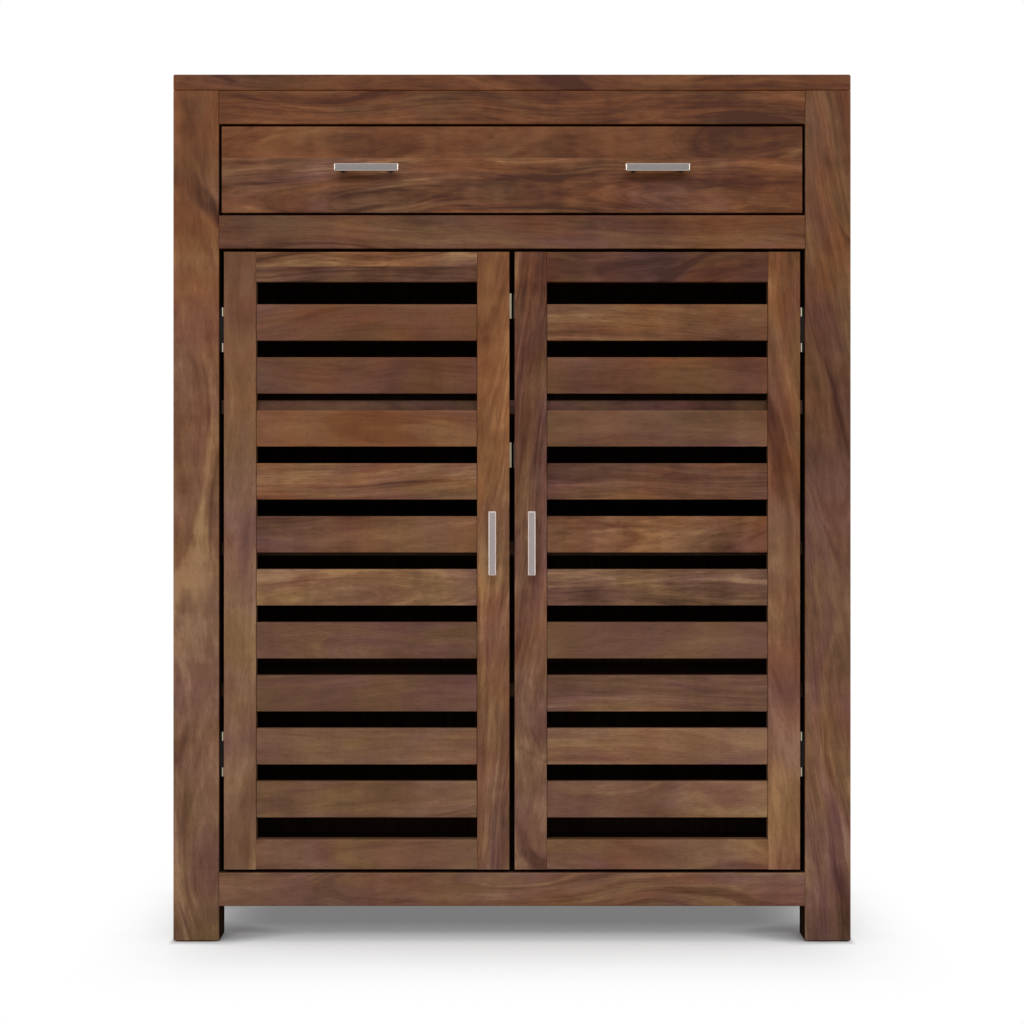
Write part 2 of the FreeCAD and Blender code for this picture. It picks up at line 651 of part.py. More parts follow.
keep(group("drawer_kickers", [left_kicker, mirror(left_kicker, "right_kicker")]))
left_glides = [floor_glide("left_front_glide", f"({FRONT} + Sizes.post_side / 2)"),
               floor_glide("left_rear_glide", f"({FRONT} + Sizes.depth - Sizes.post_side / 2)")]
keep(group("floor_glides", left_glides + [mirror(glide, glide.Label.replace("left", "right"))
                                          for glide in left_glides]))


# ---- fasteners ----------------------------------------------------------------------------------

def wood_screws(label, x, y, z, inward, counts):
    """Countersunk screws in a row or two along Z; inward is 1 where they point to +X, else -1."""
    screws = Piece(label, x, y, z)
    head = "(Sizes.screw_radius + Sizes.screw_head)"
    profile = [
        ("0", "0"),
        ("0", head),
        (f"{inward} * Sizes.screw_head", "Sizes.screw_radius"),
        (f"{inward} * (Sizes.screw_length - Sizes.screw_radius)", "Sizes.screw_radius"),
        (f"{inward} * Sizes.screw_length", "0"),
    ]
    screws.turn(screws.outline("XY_Plane", profile))
    for pitch, count in counts:
        screws.repeat("Z_Axis", pitch, count)
    return screws.body


def pull_bolts(label, x, y, z, axis):
    """The two bolts of one pull, from behind the wood into the pull's legs; axis is the pull's own."""
    bolts = Piece(label, x, y, z)
    head = bolts.circles("XZ_Plane", [("0", "0")], "Sizes.bolt_head_radius", "-Sizes.bolt_head_height")
    bolts.pad(head, "Sizes.bolt_head_height")
    wood = "Sizes.front_thick" if axis == "X_Axis" else "Sizes.door_thick"
    shank = bolts.circles("XZ_Plane", [("0", "0")], "Sizes.bolt_radius", f"(-{wood} - {BOLT_LENGTH})")
    bolts.pad(shank, f"({wood} + {BOLT_LENGTH})")
    bolts.repeat(axis, "Sizes.pull_centres", "2")
    return bolts.body


def drill_for_pull(piece, centres, thick):
    """Bolt holes through the wood, with the heads let in from behind."""
    hole = "(Sizes.bolt_radius + Sizes.bolt_play)"
    piece.cut(piece.circles("XZ_Plane", centres, hole, f"{thick} / 2"), f"{thick}")
    head = "(Sizes.bolt_head_radius + Sizes.bolt_play)"
    piece.cut(piece.circles("XZ_Plane", centres, head, thick), "Sizes.bolt_head_height")


def bar_pull(label, x, z, upright):
    """A flat bar with a bevelled face on two round legs; upright turns it to stand along Z."""
    pull = Piece(label, x, FRONT, z)
    if upright:
        length, width = "Sizes.pull_width", "Sizes.pull_length"
        legs = [("0", "-Sizes.pull_centres / 2"), ("0", "Sizes.pull_centres / 2")]
    else:
        length, width = "Sizes.pull_length", "Sizes.pull_width"
        legs = [("-Sizes.pull_centres / 2", "0"), ("Sizes.pull_centres / 2", "0")]
    bar = [(f"-{length} / 2", f"-{width} / 2", length, width)]
    pull.pad(pull.rectangles("XZ_Plane", bar, "-Sizes.pull_reach"), "Sizes.pull_thick")
    pull.bevel_edges("Sizes.pull_bevel", on_face(Y_AXIS, "-Sizes.pull_reach"))
    inside = "(Sizes.pull_reach - Sizes.pull_thick / 2)"
    pull.pad(pull.circles("XZ_Plane", legs, "Sizes.pull_leg_radius", f"-{inside}"), inside)
    pull.cut(pull.circles("XZ_Plane", legs, "Sizes.bolt_radius"), "Sizes.pull_thread_depth")
    return pull


# ---- drawer -------------------------------------------------------------------------------------

def drawer_front(label):
    """The drawer's face board: rebated ends for the sides, a groove for the bottom, bolt holes."""
    board = Piece(label, "0", FRONT, f"({DRAWER_FLOOR} + Sizes.drawer_gap)")
    face = [(f"-{DRAWER_HALF}", "0", f"2 * {DRAWER_HALF}", FRONT_HEIGHT)]
    board.pad(board.rectangles("XZ_Plane", face), "Sizes.front_thick")
    board.round_edges("Sizes.arris", on_face(Y_AXIS, "0"))
    ends = [(x, "0", "Sizes.drawer_side_thick", FRONT_HEIGHT)
            for x in (f"-{DRAWER_HALF}", f"({DRAWER_HALF} - Sizes.drawer_side_thick)")]
    board.cut(board.rectangles("XZ_Plane", ends, "Sizes.front_thick"), "Sizes.drawer_lap")
    inside = f"({DRAWER_HALF} - Sizes.drawer_side_thick)"
    slot_base = "(Sizes.drawer_rise + Sizes.drawer_floor_up - Sizes.drawer_gap)"
    slot = [(f"-{inside}", slot_base, f"2 * {inside}", "Sizes.drawer_floor_thick")]
    board.cut(board.rectangles("XZ_Plane", slot, "Sizes.front_thick"), "Sizes.drawer_groove")
    height = f"({FRONT_HEIGHT} / 2 + Sizes.drawer_pull_rise)"
    centres = [(f"({side} * Sizes.drawer_pull_offset + {end} * Sizes.pull_centres / 2)", height)
               for side in (-1, 1) for end in (-1, 1)]
    drill_for_pull(board, centres, "Sizes.front_thick")
    return board


def drawer_side(label):
    """The left-hand side of the drawer box, grooved for the bottom."""
    near = "(Sizes.front_thick - Sizes.drawer_lap)"
    side = Piece(label, f"-{DRAWER_HALF}", f"({FRONT} + {near})", DRAWER_BASE)
    length = f"({DRAWER_LENGTH} - {near})"
    side.pad(side.rectangles("YZ_Plane", [("0", "0", length, "Sizes.drawer_side_height")]),
             "Sizes.drawer_side_thick")
    slot = [("0", "Sizes.drawer_floor_up", length, "Sizes.drawer_floor_thick")]
    side.cut(side.rectangles("YZ_Plane", slot, "Sizes.drawer_side_thick"), "Sizes.drawer_groove")
    return side


def drawer_back(label):
    """The back of the drawer box, between the sides and on the bottom."""
    base = f"({FLOOR_SLOT} + Sizes.drawer_floor_thick)"
    inside = f"({DRAWER_HALF} - Sizes.drawer_side_thick)"
    near = f"({FRONT} + {DRAWER_LENGTH} - Sizes.drawer_side_thick)"
    back = Piece(label, "0", near, base)
    height = (f"({DRAWER_BASE} + Sizes.drawer_side_height - Sizes.drawer_back_drop - {base})")
    back.pad(back.rectangles("XZ_Plane", [(f"-{inside}", "0", f"2 * {inside}", height)]),
             "Sizes.drawer_side_thick")
    return back


def drawer_bottom(label):
    """The bottom of the drawer box, in the grooves of the front and the sides."""
    reach = "(Sizes.drawer_groove - Sizes.panel_play)"
    half = f"({DRAWER_HALF} - Sizes.drawer_side_thick + {reach})"
    near = f"(Sizes.front_thick - {reach})"
    bottom = Piece(label, "0", FRONT, FLOOR_SLOT)
    floor = [(f"-{half}", near, f"2 * {half}", f"({DRAWER_LENGTH} - {near})")]
    bottom.pad(bottom.rectangles("XY_Plane", floor), "Sizes.drawer_floor_thick")
    return bottom


pull_height = f"({DRAWER_FLOOR} + Sizes.drawer_opening / 2 + Sizes.drawer_pull_rise)"
keep(drawer_front("drawer_front"))
keep_pair(drawer_side("drawer_left_side"), "drawer_right_side")
keep(drawer_back("drawer_back"))
keep(drawer_bottom("drawer_bottom"))
keep_pair(bar_pull("drawer_left_pull", "-Sizes.drawer_pull_offset", pull_height, False), "drawer_right_pull")
left_bolts = pull_bolts("left_drawer_bolts", "(-Sizes.drawer_pull_offset - Sizes.pull_centres / 2)",
                        f"({FRONT} + Sizes.front_thick)", pull_height, "X_Axis")
keep(group("drawer_pull_bolts", [left_bolts, mirror(left_bolts, "right_drawer_bolts")]))


# ---- doors --------------------------------------------------------------------------------------

def door_stile(label, x, inner_right):
    """A stile drawn from its inner face; inner_right is True where the slats lie on its +X side."""
    stile = Piece(label, x, FRONT, DOOR_BASE)
    left = "-Sizes.stile_width" if inner_right else "0"
    section = [(left, "0", "Sizes.stile_width", "Sizes.door_thick")]
    stile.pad(stile.rectangles("XY_Plane", section), DOOR_HEIGHT)
    stile.round_edges("Sizes.arris", both(along(Z_AXIS), on_face(Y_AXIS, "0")))
    rails = [(DOOR_TENON_IN, base, "Sizes.door_tenon_thick", DOOR_TENON_HEIGHT)
             for base in ("Sizes.door_tenon_shoulder",
                          f"({DOOR_HEIGHT} - Sizes.door_rail_height + Sizes.door_tenon_shoulder)")]
    stile.cut(stile.rectangles("YZ_Plane", rails), "Sizes.door_tenon_length")
    slat = [(SLAT_TENON_IN, f"({SLAT_FIRST} + Sizes.slat_shoulder)", "Sizes.slat_tenon_thick",
             SLAT_TENON_HEIGHT)]
    mortise = stile.cut(stile.rectangles("YZ_Plane", slat), "Sizes.slat_tenon_length")
    stile.repeat("Z_Axis", SLAT_PITCH, "Sizes.slat_count", [mortise])
    return stile


def hinge_stile(label):
    """The outer stile, drilled for the hinge screws."""
    stile = door_stile(label, f"(Sizes.stile_width - {DOOR_OUTER})", True)
    holes = screw_grid(f"(Sizes.pin_setback + {LEAF_SCREW})", f"({HINGE_LOW} + {SCREW_LOW})")
    sketch = stile.circles("YZ_Plane", holes, "Sizes.screw_radius", "-Sizes.stile_width")
    stile.cut(sketch, pilot("leaf_thick"))
    return stile


def meeting_stile(label):
    """The inner stile, drilled for the screws of its edge plates and for its pull."""
    stile = door_stile(label, f"(-Sizes.stile_width - {DOOR_INNER})", False)
    holes = [("Sizes.door_thick / 2", f"({middle} + {side} * Sizes.plate_screw_pitch / 2)")
             for middle in (PLATE_LOW, PLATE_TOP) for side in (-1, 1)]
    sketch = stile.circles("YZ_Plane", holes, "Sizes.screw_radius", "Sizes.stile_width")
    stile.cut(sketch, pilot("strike_thick"))
    across = "(Sizes.stile_width - Sizes.door_pull_in)"
    centres = [(across, f"({PULL_Z} + {side} * Sizes.pull_centres / 2)") for side in (-1, 1)]
    drill_for_pull(stile, centres, "Sizes.door_thick")
    return stile


def door_rail(label, z):
    """The top or bottom rail of the left-hand door."""
    rail = Piece(label, LADDER_X, FRONT, z)
    section = [("0", "0", "Sizes.door_thick", "Sizes.door_rail_height")]
    rail.pad(rail.rectangles("YZ_Plane", section), LADDER_WIDTH, both_ways=True)
    rail.round_edges("Sizes.arris", both(along(X_AXIS), on_face(Y_AXIS, "0")))
    tenon = [(DOOR_TENON_IN, "Sizes.door_tenon_shoulder", "Sizes.door_tenon_thick", DOOR_TENON_HEIGHT)]
    length = f"({LADDER_WIDTH} + 2 * Sizes.door_tenon_length)"
    rail.pad(rail.rectangles("YZ_Plane", tenon), length, both_ways=True)
    return rail


def door_slats(label):
    """The ladder of flat slats, each with a stub tenon in either stile."""
    slats = Piece(label, LADDER_X, FRONT, f"({DOOR_BASE} + {SLAT_FIRST})")
    section = [("Sizes.slat_setback", "0", "Sizes.slat_thick", "Sizes.slat_height")]
    slats.pad(slats.rectangles("YZ_Plane", section), LADDER_WIDTH, both_ways=True)
    slats.round_edges("Sizes.arris", along(X_AXIS))
    tenon = [(SLAT_TENON_IN, "Sizes.slat_shoulder", "Sizes.slat_tenon_thick", SLAT_TENON_HEIGHT)]
    length = f"({LADDER_WIDTH} + 2 * Sizes.slat_tenon_length)"
    slats.pad(slats.rectangles("YZ_Plane", tenon), length, both_ways=True)
    slats.repeat("Z_Axis", SLAT_PITCH, "Sizes.slat_count")
    return slats


def edge_plates(label, thick):
    """Two metal plates on the closing edge of the left-hand door."""
    middle = f"({FRONT} + Sizes.door_thick / 2)"
    plates = Piece(label, f"-{DOOR_INNER}", middle, f"({DOOR_BASE} + {PLATE_LOW})")
    face = [("-Sizes.plate_width / 2", "-Sizes.plate_height / 2", "Sizes.plate_width", "Sizes.plate_height")]
    plates.pad(plates.rectangles("YZ_Plane", face), thick)
    holes = [("0", f"{side} * Sizes.plate_screw_pitch / 2") for side in (-1, 1)]
    plates.cut(plates.circles("YZ_Plane", holes, "Sizes.screw_radius"), thick)
    plates.bevel_edges("Sizes.screw_head", circle_on("Sizes.screw_radius", X_AXIS, thick))
    plates.repeat("Z_Axis", "Sizes.plate_pitch", "2")
    return plates


def plate_screws(label, thick):
    """The four screws of those plates."""
    return wood_screws(label, f"({thick} - {DOOR_INNER})", f"({FRONT} + Sizes.door_thick / 2)",
                       f"({DOOR_BASE} + {PLATE_LOW} - Sizes.plate_screw_pitch / 2)", -1,
                       [("Sizes.plate_screw_pitch", "2"), ("Sizes.plate_pitch", "2")])


def hinge_leaves(label, on_post):
    """The leaves of the two left-hand hinges, drawn from the pin: middle knuckle on the post's leaf."""
    leaves = Piece(label, PIN_X, PIN_Y, f"({DOOR_BASE} + {HINGE_LOW})")
    back = "-Sizes.pin_from_post" if on_post else f"({DOOR_LEAF_X} - Sizes.leaf_thick)"
    plate = [(LEAF_EDGE, "0", f"(Sizes.leaf_width - {LEAF_EDGE})", "Sizes.hinge_height")]
    leaves.pad(leaves.rectangles("YZ_Plane", plate, back), "Sizes.leaf_thick")
    if on_post:
        spans = [("(Sizes.end_knuckle + Sizes.knuckle_gap)", MIDDLE_KNUCKLE)]
        radius, bore = "Sizes.middle_radius", "Sizes.pin_radius"
        near, reach = "(Sizes.middle_radius / 2)", "(Sizes.pin_from_post - Sizes.leaf_clear)"
        face = f"({back} + Sizes.leaf_thick)"
    else:
        spans = [(base, "Sizes.end_knuckle") for base in ("0", "(Sizes.hinge_height - Sizes.end_knuckle)")]
        radius, bore = "Sizes.knuckle_radius", "(Sizes.pin_radius + Sizes.pin_play)"
        near, reach = "0", "Sizes.leaf_thick"
        face = back
    for base, length in spans:
        web = [(near, base, f"({LEAF_EDGE} - {near})", length)]
        leaves.pad(leaves.rectangles("YZ_Plane", web, back), reach)
        leaves.pad(leaves.circles("XY_Plane", [("0", "0")], radius, base), length)
    leaves.cut(leaves.circles("XY_Plane", [("0", "0")], bore), "Sizes.hinge_height")
    holes = [(LEAF_SCREW, SCREW_LOW), (LEAF_SCREW, f"({SCREW_LOW} + Sizes.screw_pitch)")]
    leaves.cut(leaves.circles("YZ_Plane", holes, "Sizes.screw_radius", back), "Sizes.leaf_thick")
    leaves.bevel_edges("Sizes.screw_head", circle_on("Sizes.screw_radius", X_AXIS, face))
    leaves.repeat("Z_Axis", HINGE_PITCH, "2")
    return leaves


def hinge_pins(label):
    """The pins of the two left-hand hinges, fixed in the middle knuckles."""
    pins = Piece(label, PIN_X, PIN_Y, f"({DOOR_BASE} + {HINGE_LOW})")
    pins.pad(pins.circles("XY_Plane", [("0", "0")], "Sizes.pin_radius"), "Sizes.hinge_height")
    pins.repeat("Z_Axis", HINGE_PITCH, "2")
    return pins.body


hinge_screw_z = f"({DOOR_BASE} + {HINGE_LOW} + {SCREW_LOW})"
hinge_screw_y = f"({PIN_Y} + {LEAF_SCREW})"
hinge_rows = [("Sizes.screw_pitch", "2"), (HINGE_PITCH, "2")]

keep_pair(hinge_stile("left_door_hinge_stile"), "right_door_hinge_stile")
keep_pair(meeting_stile("left_door_meeting_stile"), "right_door_meeting_stile")
keep_pair(door_rail("left_door_bottom_rail", DOOR_BASE), "right_door_bottom_rail")
keep_pair(door_rail("left_door_top_rail", f"({DOOR_BASE} + {DOOR_HEIGHT} - Sizes.door_rail_height)"),
          "right_door_top_rail")
keep_pair(door_slats("left_door_slats"), "right_door_slats")
pull_x = f"(-{DOOR_INNER} - Sizes.door_pull_in)"
keep_pair(bar_pull("left_door_pull", pull_x, f"({DOOR_BASE} + {PULL_Z})", True), "right_door_pull")
left_door_bolts = pull_bolts("left_door_pull_bolts", pull_x, f"({FRONT} + Sizes.door_thick)",
                             f"({DOOR_BASE} + {PULL_Z} - Sizes.pull_centres / 2)", "Z_Axis")
keep(left_door_bolts)
keep(mirror(left_door_bolts, "right_door_pull_bolts"))
keep(edge_plates("left_door_edge_plates", "Sizes.plate_thick"))
strike_plates = edge_plates("left_strike_plates", "Sizes.strike_thick").body
keep(mirror(strike_plates, "right_door_edge_plates"))
keep_pair(hinge_leaves("left_hinge_door_leaves", False), "right_hinge_door_leaves")
keep_pair(hinge_leaves("left_hinge_post_leaves", True), "right_hinge_post_leaves")
left_pins = hinge_pins("left_hinge_pins")
keep(group("hinge_pins", [left_pins, mirror(left_pins, "right_hinge_pins")]))

post_screws = wood_screws("left_post_screws", f"({PIN_X} - Sizes.pin_from_post + Sizes.leaf_thick)",
                          hinge_screw_y, hinge_screw_z, -1, hinge_rows)
keep(group("hinge_post_screws", [post_screws, mirror(post_screws, "right_post_screws")]))
leaf_screws = wood_screws("left_leaf_screws", f"({PIN_X} + {DOOR_LEAF_X} - Sizes.leaf_thick)",
                          hinge_screw_y, hinge_screw_z, 1, hinge_rows)
keep(group("left_door_screws", [leaf_screws, plate_screws("left_plate_screws", "Sizes.plate_thick")]))
strike_screws = plate_screws("left_strike_screws", "Sizes.strike_thick")
keep(mirror(group("leaf_and_strike_screws", [leaf_screws, strike_screws]), "right_door_screws"))


# ---- checks and files ---------------------------------------------------------------------------

doc.recompute()
for thing in doc.Objects:
    assert not {"Invalid", "Error"} & set(thing.State), f"{thing.Label} failed: {thing.State}"
for part in parts:
    assert not part.Shape.isNull(), f"{part.Label} is empty"
    assert part.Shape.isValid(), f"{part.Label} is not a valid shape"
    assert part.Shape.Solids, f"{part.Label} has no solid"

os.makedirs("parts", exist_ok=True)
for part in parts:
    part.Shape.exportStep(f"parts/{part.Label}.step")
    print(part.Label, len(part.Shape.Solids), round(part.Shape.Volume))
print(len(parts), "parts")
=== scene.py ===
import logging
import math
from collections.abc import Sequence
from dataclasses import dataclass, field, replace
from enum import Enum

import bmesh
import bpy
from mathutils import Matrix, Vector


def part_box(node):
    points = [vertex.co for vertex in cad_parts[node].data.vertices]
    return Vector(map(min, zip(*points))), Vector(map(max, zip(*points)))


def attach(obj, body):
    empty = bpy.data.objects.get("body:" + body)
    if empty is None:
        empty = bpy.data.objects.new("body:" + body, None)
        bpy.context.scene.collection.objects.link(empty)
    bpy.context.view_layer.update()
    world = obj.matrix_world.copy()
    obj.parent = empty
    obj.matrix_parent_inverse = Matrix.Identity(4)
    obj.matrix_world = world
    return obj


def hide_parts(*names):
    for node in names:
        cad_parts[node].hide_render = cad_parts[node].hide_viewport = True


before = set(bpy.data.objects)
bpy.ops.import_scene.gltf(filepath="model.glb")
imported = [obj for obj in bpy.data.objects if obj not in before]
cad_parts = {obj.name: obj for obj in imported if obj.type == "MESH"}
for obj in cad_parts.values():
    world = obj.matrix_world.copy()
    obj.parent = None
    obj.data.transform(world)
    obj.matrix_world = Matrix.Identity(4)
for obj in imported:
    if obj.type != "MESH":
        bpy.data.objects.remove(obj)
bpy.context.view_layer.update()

# Metres of log from one whole seed to the next.
LOG_STEP = 2.7
# Corners closer than this, in metres, are one corner.
WELD = 2e-6
# Faces that turn by less than FLAT are one face, and edges that turn by more than SHARP stay sharp.
FLAT, SHARP = math.radians(0.4), math.radians(50)
# How much of a face's normal lies along one axis: on a face that is no rounding, and on one that
# looks that way at all.
SQUARE_ON, LOOKS_THAT_WAY = 0.999, 0.9

Socket = bpy.types.NodeSocket
Node = bpy.types.Node
Tree = bpy.types.NodeTree
Material = bpy.types.Material
Mesh = bpy.types.Mesh
Piece = bpy.types.Object
Form = bmesh.types.BMesh
Colour = tuple[float, float, float]
Pair = tuple[float, float]
Triple = tuple[float, float, float]

log = logging.getLogger("cabinet")


def srgb(red: int, green: int, blue: int) -> Colour:
    """Turns a colour of three numbers from 0 to 255 into Blender's linear values.

    Args:
        red: amount of red.
        green: amount of green.
        blue: amount of blue.

    Returns:
        The same colour as linear values from 0 to 1.
    """
    parts = (channel / 255 for channel in (red, green, blue))
    return tuple(part / 12.92 if part <= 0.04045 else ((part + 0.055) / 1.055) ** 2.4
                 for part in parts)


def palette(*colours: tuple[int, int, int]) -> tuple[Colour, ...]:
    """Turns a row of such colours into Blender's linear values."""
    return tuple(srgb(*colour) for colour in colours)


# ---- node trees ---------------------------------------------------------------------------------

class NodeSheet:
    """A node tree that is written with one call for each node."""

    def __init__(self, tree: Tree) -> None:
        """Keeps the tree that the calls write to."""
        self.tree = tree

    def add(self, kind: str, inputs: dict | None = None, **options: object) -> Node:
        """Adds a node, sets its options, and fills its inputs.

        Args:
            kind: the node's type.
            inputs: a socket to join or a value to set, under the input's name or number.
            **options: the node's own settings.

        Returns:
            The new node.
        """
        node = self.tree.nodes.new(kind)
        for option, value in options.items():
            setattr(node, option, value)
        for key, value in (inputs or {}).items():
            if isinstance(value, Socket):
                self.tree.links.new(value, node.inputs[key])
            else:
                node.inputs[key].default_value = value
        return node

    def result(self, kind: str, inputs: dict | None = None, **options: object) -> Socket:
        """Adds a node in the same way and gives its first output."""
        return self.add(kind, inputs, **options).outputs[0]

    def parts(self, vector: Socket) -> Sequence[Socket]:
        """Splits a vector into its three numbers."""
        return self.add("ShaderNodeSeparateXYZ", {0: vector}).outputs

    def vector(self, x: object, y: object = 0.0, z: object = 0.0) -> Socket:
        """Joins three numbers or sockets into a vector."""
        return self.result("ShaderNodeCombineXYZ", {0: x, 1: y, 2: z})

    def vectors(self, operation: str, first: Socket, second: object) -> Socket:
        """Does one sum on two vectors, part by part."""
        return self.result("ShaderNodeVectorMath", {0: first, 1: second}, operation=operation)

    def work(self, operation: str, *values: object, clamp: bool = False) -> Socket:
        """Does one sum on numbers or sockets.

        Args:
            operation: the Math node's operation.
            *values: what goes in, in order.
            clamp: whether the result is held between 0 and 1.

        Returns:
            The result's socket.
        """
        inputs = dict(enumerate(values))
        return self.result("ShaderNodeMath", inputs, operation=operation, use_clamp=clamp)


class ShaderSheet(NodeSheet):
    """A shader tree, with short calls for the nodes that the finishes share."""

    def attribute(self, name: str) -> Socket:
        """Reads a vector that the mesh carries under this name."""
        return self.add("ShaderNodeAttribute", attribute_name=name).outputs["Vector"]

    def place(self) -> Socket:
        """Reads the place on the piece, in metres."""
        return self.add("ShaderNodeTexCoord").outputs["Object"]

    def share(self, value: Socket, low: float, high: float, start: float = 0.0, end: float = 1.0,
              smooth: bool = False) -> Socket:
        """Turns a stretch of values into another stretch, and holds what lies past its ends.

        Args:
            value: the value's socket.
            low: the value at the start.
            high: the value at the end.
            start: what the low value gives.
            end: what the high value gives.
            smooth: whether it eases in and out.

        Returns:
            The result's socket.
        """
        inputs = {"Value": value, "From Min": low, "From Max": high, "To Min": start, "To Max": end}
        kind = "SMOOTHSTEP" if smooth else "LINEAR"
        return self.result("ShaderNodeMapRange", inputs, interpolation_type=kind)

    def noise(self, vector: Socket, scale: Triple | None = None, detail: float = 2.0,
              roughness: float = 0.5, distortion: float = 0.0) -> Socket:
        """Adds a noise of about one feature for each unit of the vector.

        Args:
            vector: where the noise is read.
            scale: what the vector is multiplied by, or None where it is scaled already.
            detail: how many finer layers it has.
            roughness: how strong the finer layers are.
            distortion: how far it is pulled about.

        Returns:
            The noise's socket, from 0 to 1.
        """
        place = vector if scale is None else self.vectors("MULTIPLY", vector, scale)
        inputs = {"Vector": place, "Scale": 1.0, "Detail": detail, "Roughness": roughness,
                  "Distortion": distortion}
        return self.result("ShaderNodeTexNoise", inputs)

    def skin(self, output: Node, colour: Socket, rough: Socket, height: Socket, bump: Pair) -> Node:
        """Adds the shader that shows, with its fine relief.

        Args:
            output: the material's output node.
            colour: the colour.
            rough: the blur of the reflection.
            height: the relief.
            bump: the relief's strength, and its height in metres.

        Returns:
            The shader's node, for what is the same all over.
        """
        inputs = {"Strength": bump[0], "Distance": bump[1], "Height": height}
        normal = self.result("ShaderNodeBump", inputs)
        inputs = {"Base Color": colour, "Roughness": rough, "Normal": normal}
        surface = self.add("ShaderNodeBsdfPrincipled", inputs)
        self.tree.links.new(surface.outputs[0], output.inputs["Surface"])
        return surface

    def swing(self, noise: Socket, amount: float) -> Socket:
        """Turns a noise into a swing about zero of this amount each way."""
        return self.work("MULTIPLY", self.work("MULTIPLY_ADD", noise, 4.0, -2.0), amount)

    def ramp(self, factor: Socket, colours: Sequence[Colour]) -> Socket:
        """Runs through evenly spaced colours.

        Args:
            factor: 0 for the first colour to 1 for the last.
            colours: the colours, at least two.

        Returns:
            The colour's socket.
        """
        node = self.add("ShaderNodeValToRGB", {0: factor})
        stops = node.color_ramp.elements
        while len(stops) < len(colours):
            stops.new(0.5)
        for step, colour in enumerate(colours):
            stops[step].position = step / (len(colours) - 1)
            stops[step].color = (*colour, 1.0)
        return node.outputs[0]

    def blend(self, factor: object, first: object, second: object, mode: str = "MIX") -> Socket:
        """Mixes two colours.

        Args:
            factor: 0 for the first colour to 1 for the second.
            first: a colour or its socket.
            second: a colour or its socket.
            mode: the Mix node's way of mixing.

        Returns:
            The mixed colour's socket.
        """
        inputs = {0: factor, 6: first, 7: second}
        mixed = self.add("ShaderNodeMix", inputs, data_type="RGBA", blend_type=mode)
        return mixed.outputs[2]


def blank_material(name: str) -> tuple[Material, ShaderSheet, Node]:
    """Makes a material with nothing but its output.

    Args:
        name: the material's name.

    Returns:
        The material, its sheet and its output node.
    """
    material = bpy.data.materials.new(name)
    material.use_nodes = True
    material.node_tree.nodes.clear()
    sheet = ShaderSheet(material.node_tree)
    return material, sheet, sheet.add("ShaderNodeOutputMaterial")


# ---- finishes -----------------------------------------------------------------------------------

@dataclass(frozen=True)
class Lines:
    """One layer of lines along the fibres of a wood.

    Attributes:
        scale: lines to the metre along and out from the heart.
        level: keeps this layer apart from the others.
        amount: how much it swings the shade.
        peaks: where a streak starts and where it is full, for a layer that shows only its peaks.
        calm: whether the lines follow fibres that are bent less.
    """

    scale: Pair
    level: float
    amount: float
    peaks: Pair | None = None
    calm: bool = False


@dataclass(frozen=True)
class Patches:
    """How one colour of a wood goes over into another.

    Attributes:
        scale: patches to the metre along and out from the heart.
        level: keeps these apart from the layers of lines.
        amount: how much the colour swings.
        lean: what is added to the board's own leaning.
    """

    scale: Pair
    level: float
    amount: float
    lean: float


# Sizes of patterns are features to the metre along, across and through the log. Reaches are in
# metres and swings are shares of the shade. A bump is its strength and its height in metres.
BROAD_BEND, WAVE, RIPPLE = (2.3, 5.0, 5.0), (8.0, 20.0, 20.0), (42.0, 90.0, 90.0)
BROAD_REACH, WAVE_REACH, RIPPLE_REACH = 0.11, 0.013, 0.0018
CALM_SHARE = 0.4
LINES = (
    Lines((1.1, 42.0), 0.0, 0.22),
    Lines((24.0, 9.0), 3.0, 0.10),
    Lines((3.6, 165.0), 7.0, 0.17, calm=True),
    Lines((15.0, 560.0), 13.0, 0.12, calm=True),
    Lines((2.6, 78.0), 19.0, -0.34, peaks=(0.57, 0.70)),
    Lines((2.2, 60.0), 43.0, 0.24, peaks=(0.58, 0.72)),
)
RUDDY = Patches((6.0, 24.0), 31.0, 0.62, -0.06)
GOLDEN = Patches((7.0, 42.0), 57.0, 0.55, -0.18)
CLOUDS, CLOUD_SWING = (9.0, 30.0, 30.0), 0.17
MOTTLE, MOTTLE_SWING = (42.0, 150.0, 150.0), 0.08
FIBRES, FIBRE_SWING = (30.0, 900.0, 900.0), 0.06
PORES, PORE_PEAKS, PORE_DEPTH = (110.0, 2200.0, 2200.0), (0.60, 0.74), 0.40
FIBRE_RELIEF, PORE_RELIEF, FIBRE_BLUR = 0.5, -0.6, 0.12
# How much lighter the roundings are painted: a painted highlight along the edges.
EDGE_HIGHLIGHT = 0.04
# Painted shade near the floor: below this height, in metres, the wood is darkened down to this
# share at the floor.
FLOOR_SHADE_HEIGHT, FLOOR_SHADE_SHARE = 0.075, 0.74
WOOD_BUMP, METAL_BUMP, NYLON_BUMP = (0.22, 0.0003), (0.10, 0.00005), (0.3, 0.0001)
SMUDGES, BRUSH_BLUR, SMUDGE_BLUR = (60.0, 60.0, 60.0), 0.10, 0.08
NYLON_SKIN, SCUFFS = (1500.0, 1500.0, 1500.0), (220.0, 220.0, 60.0)
WORN_NYLON, NYLON_BLUR = 2.2, 0.2


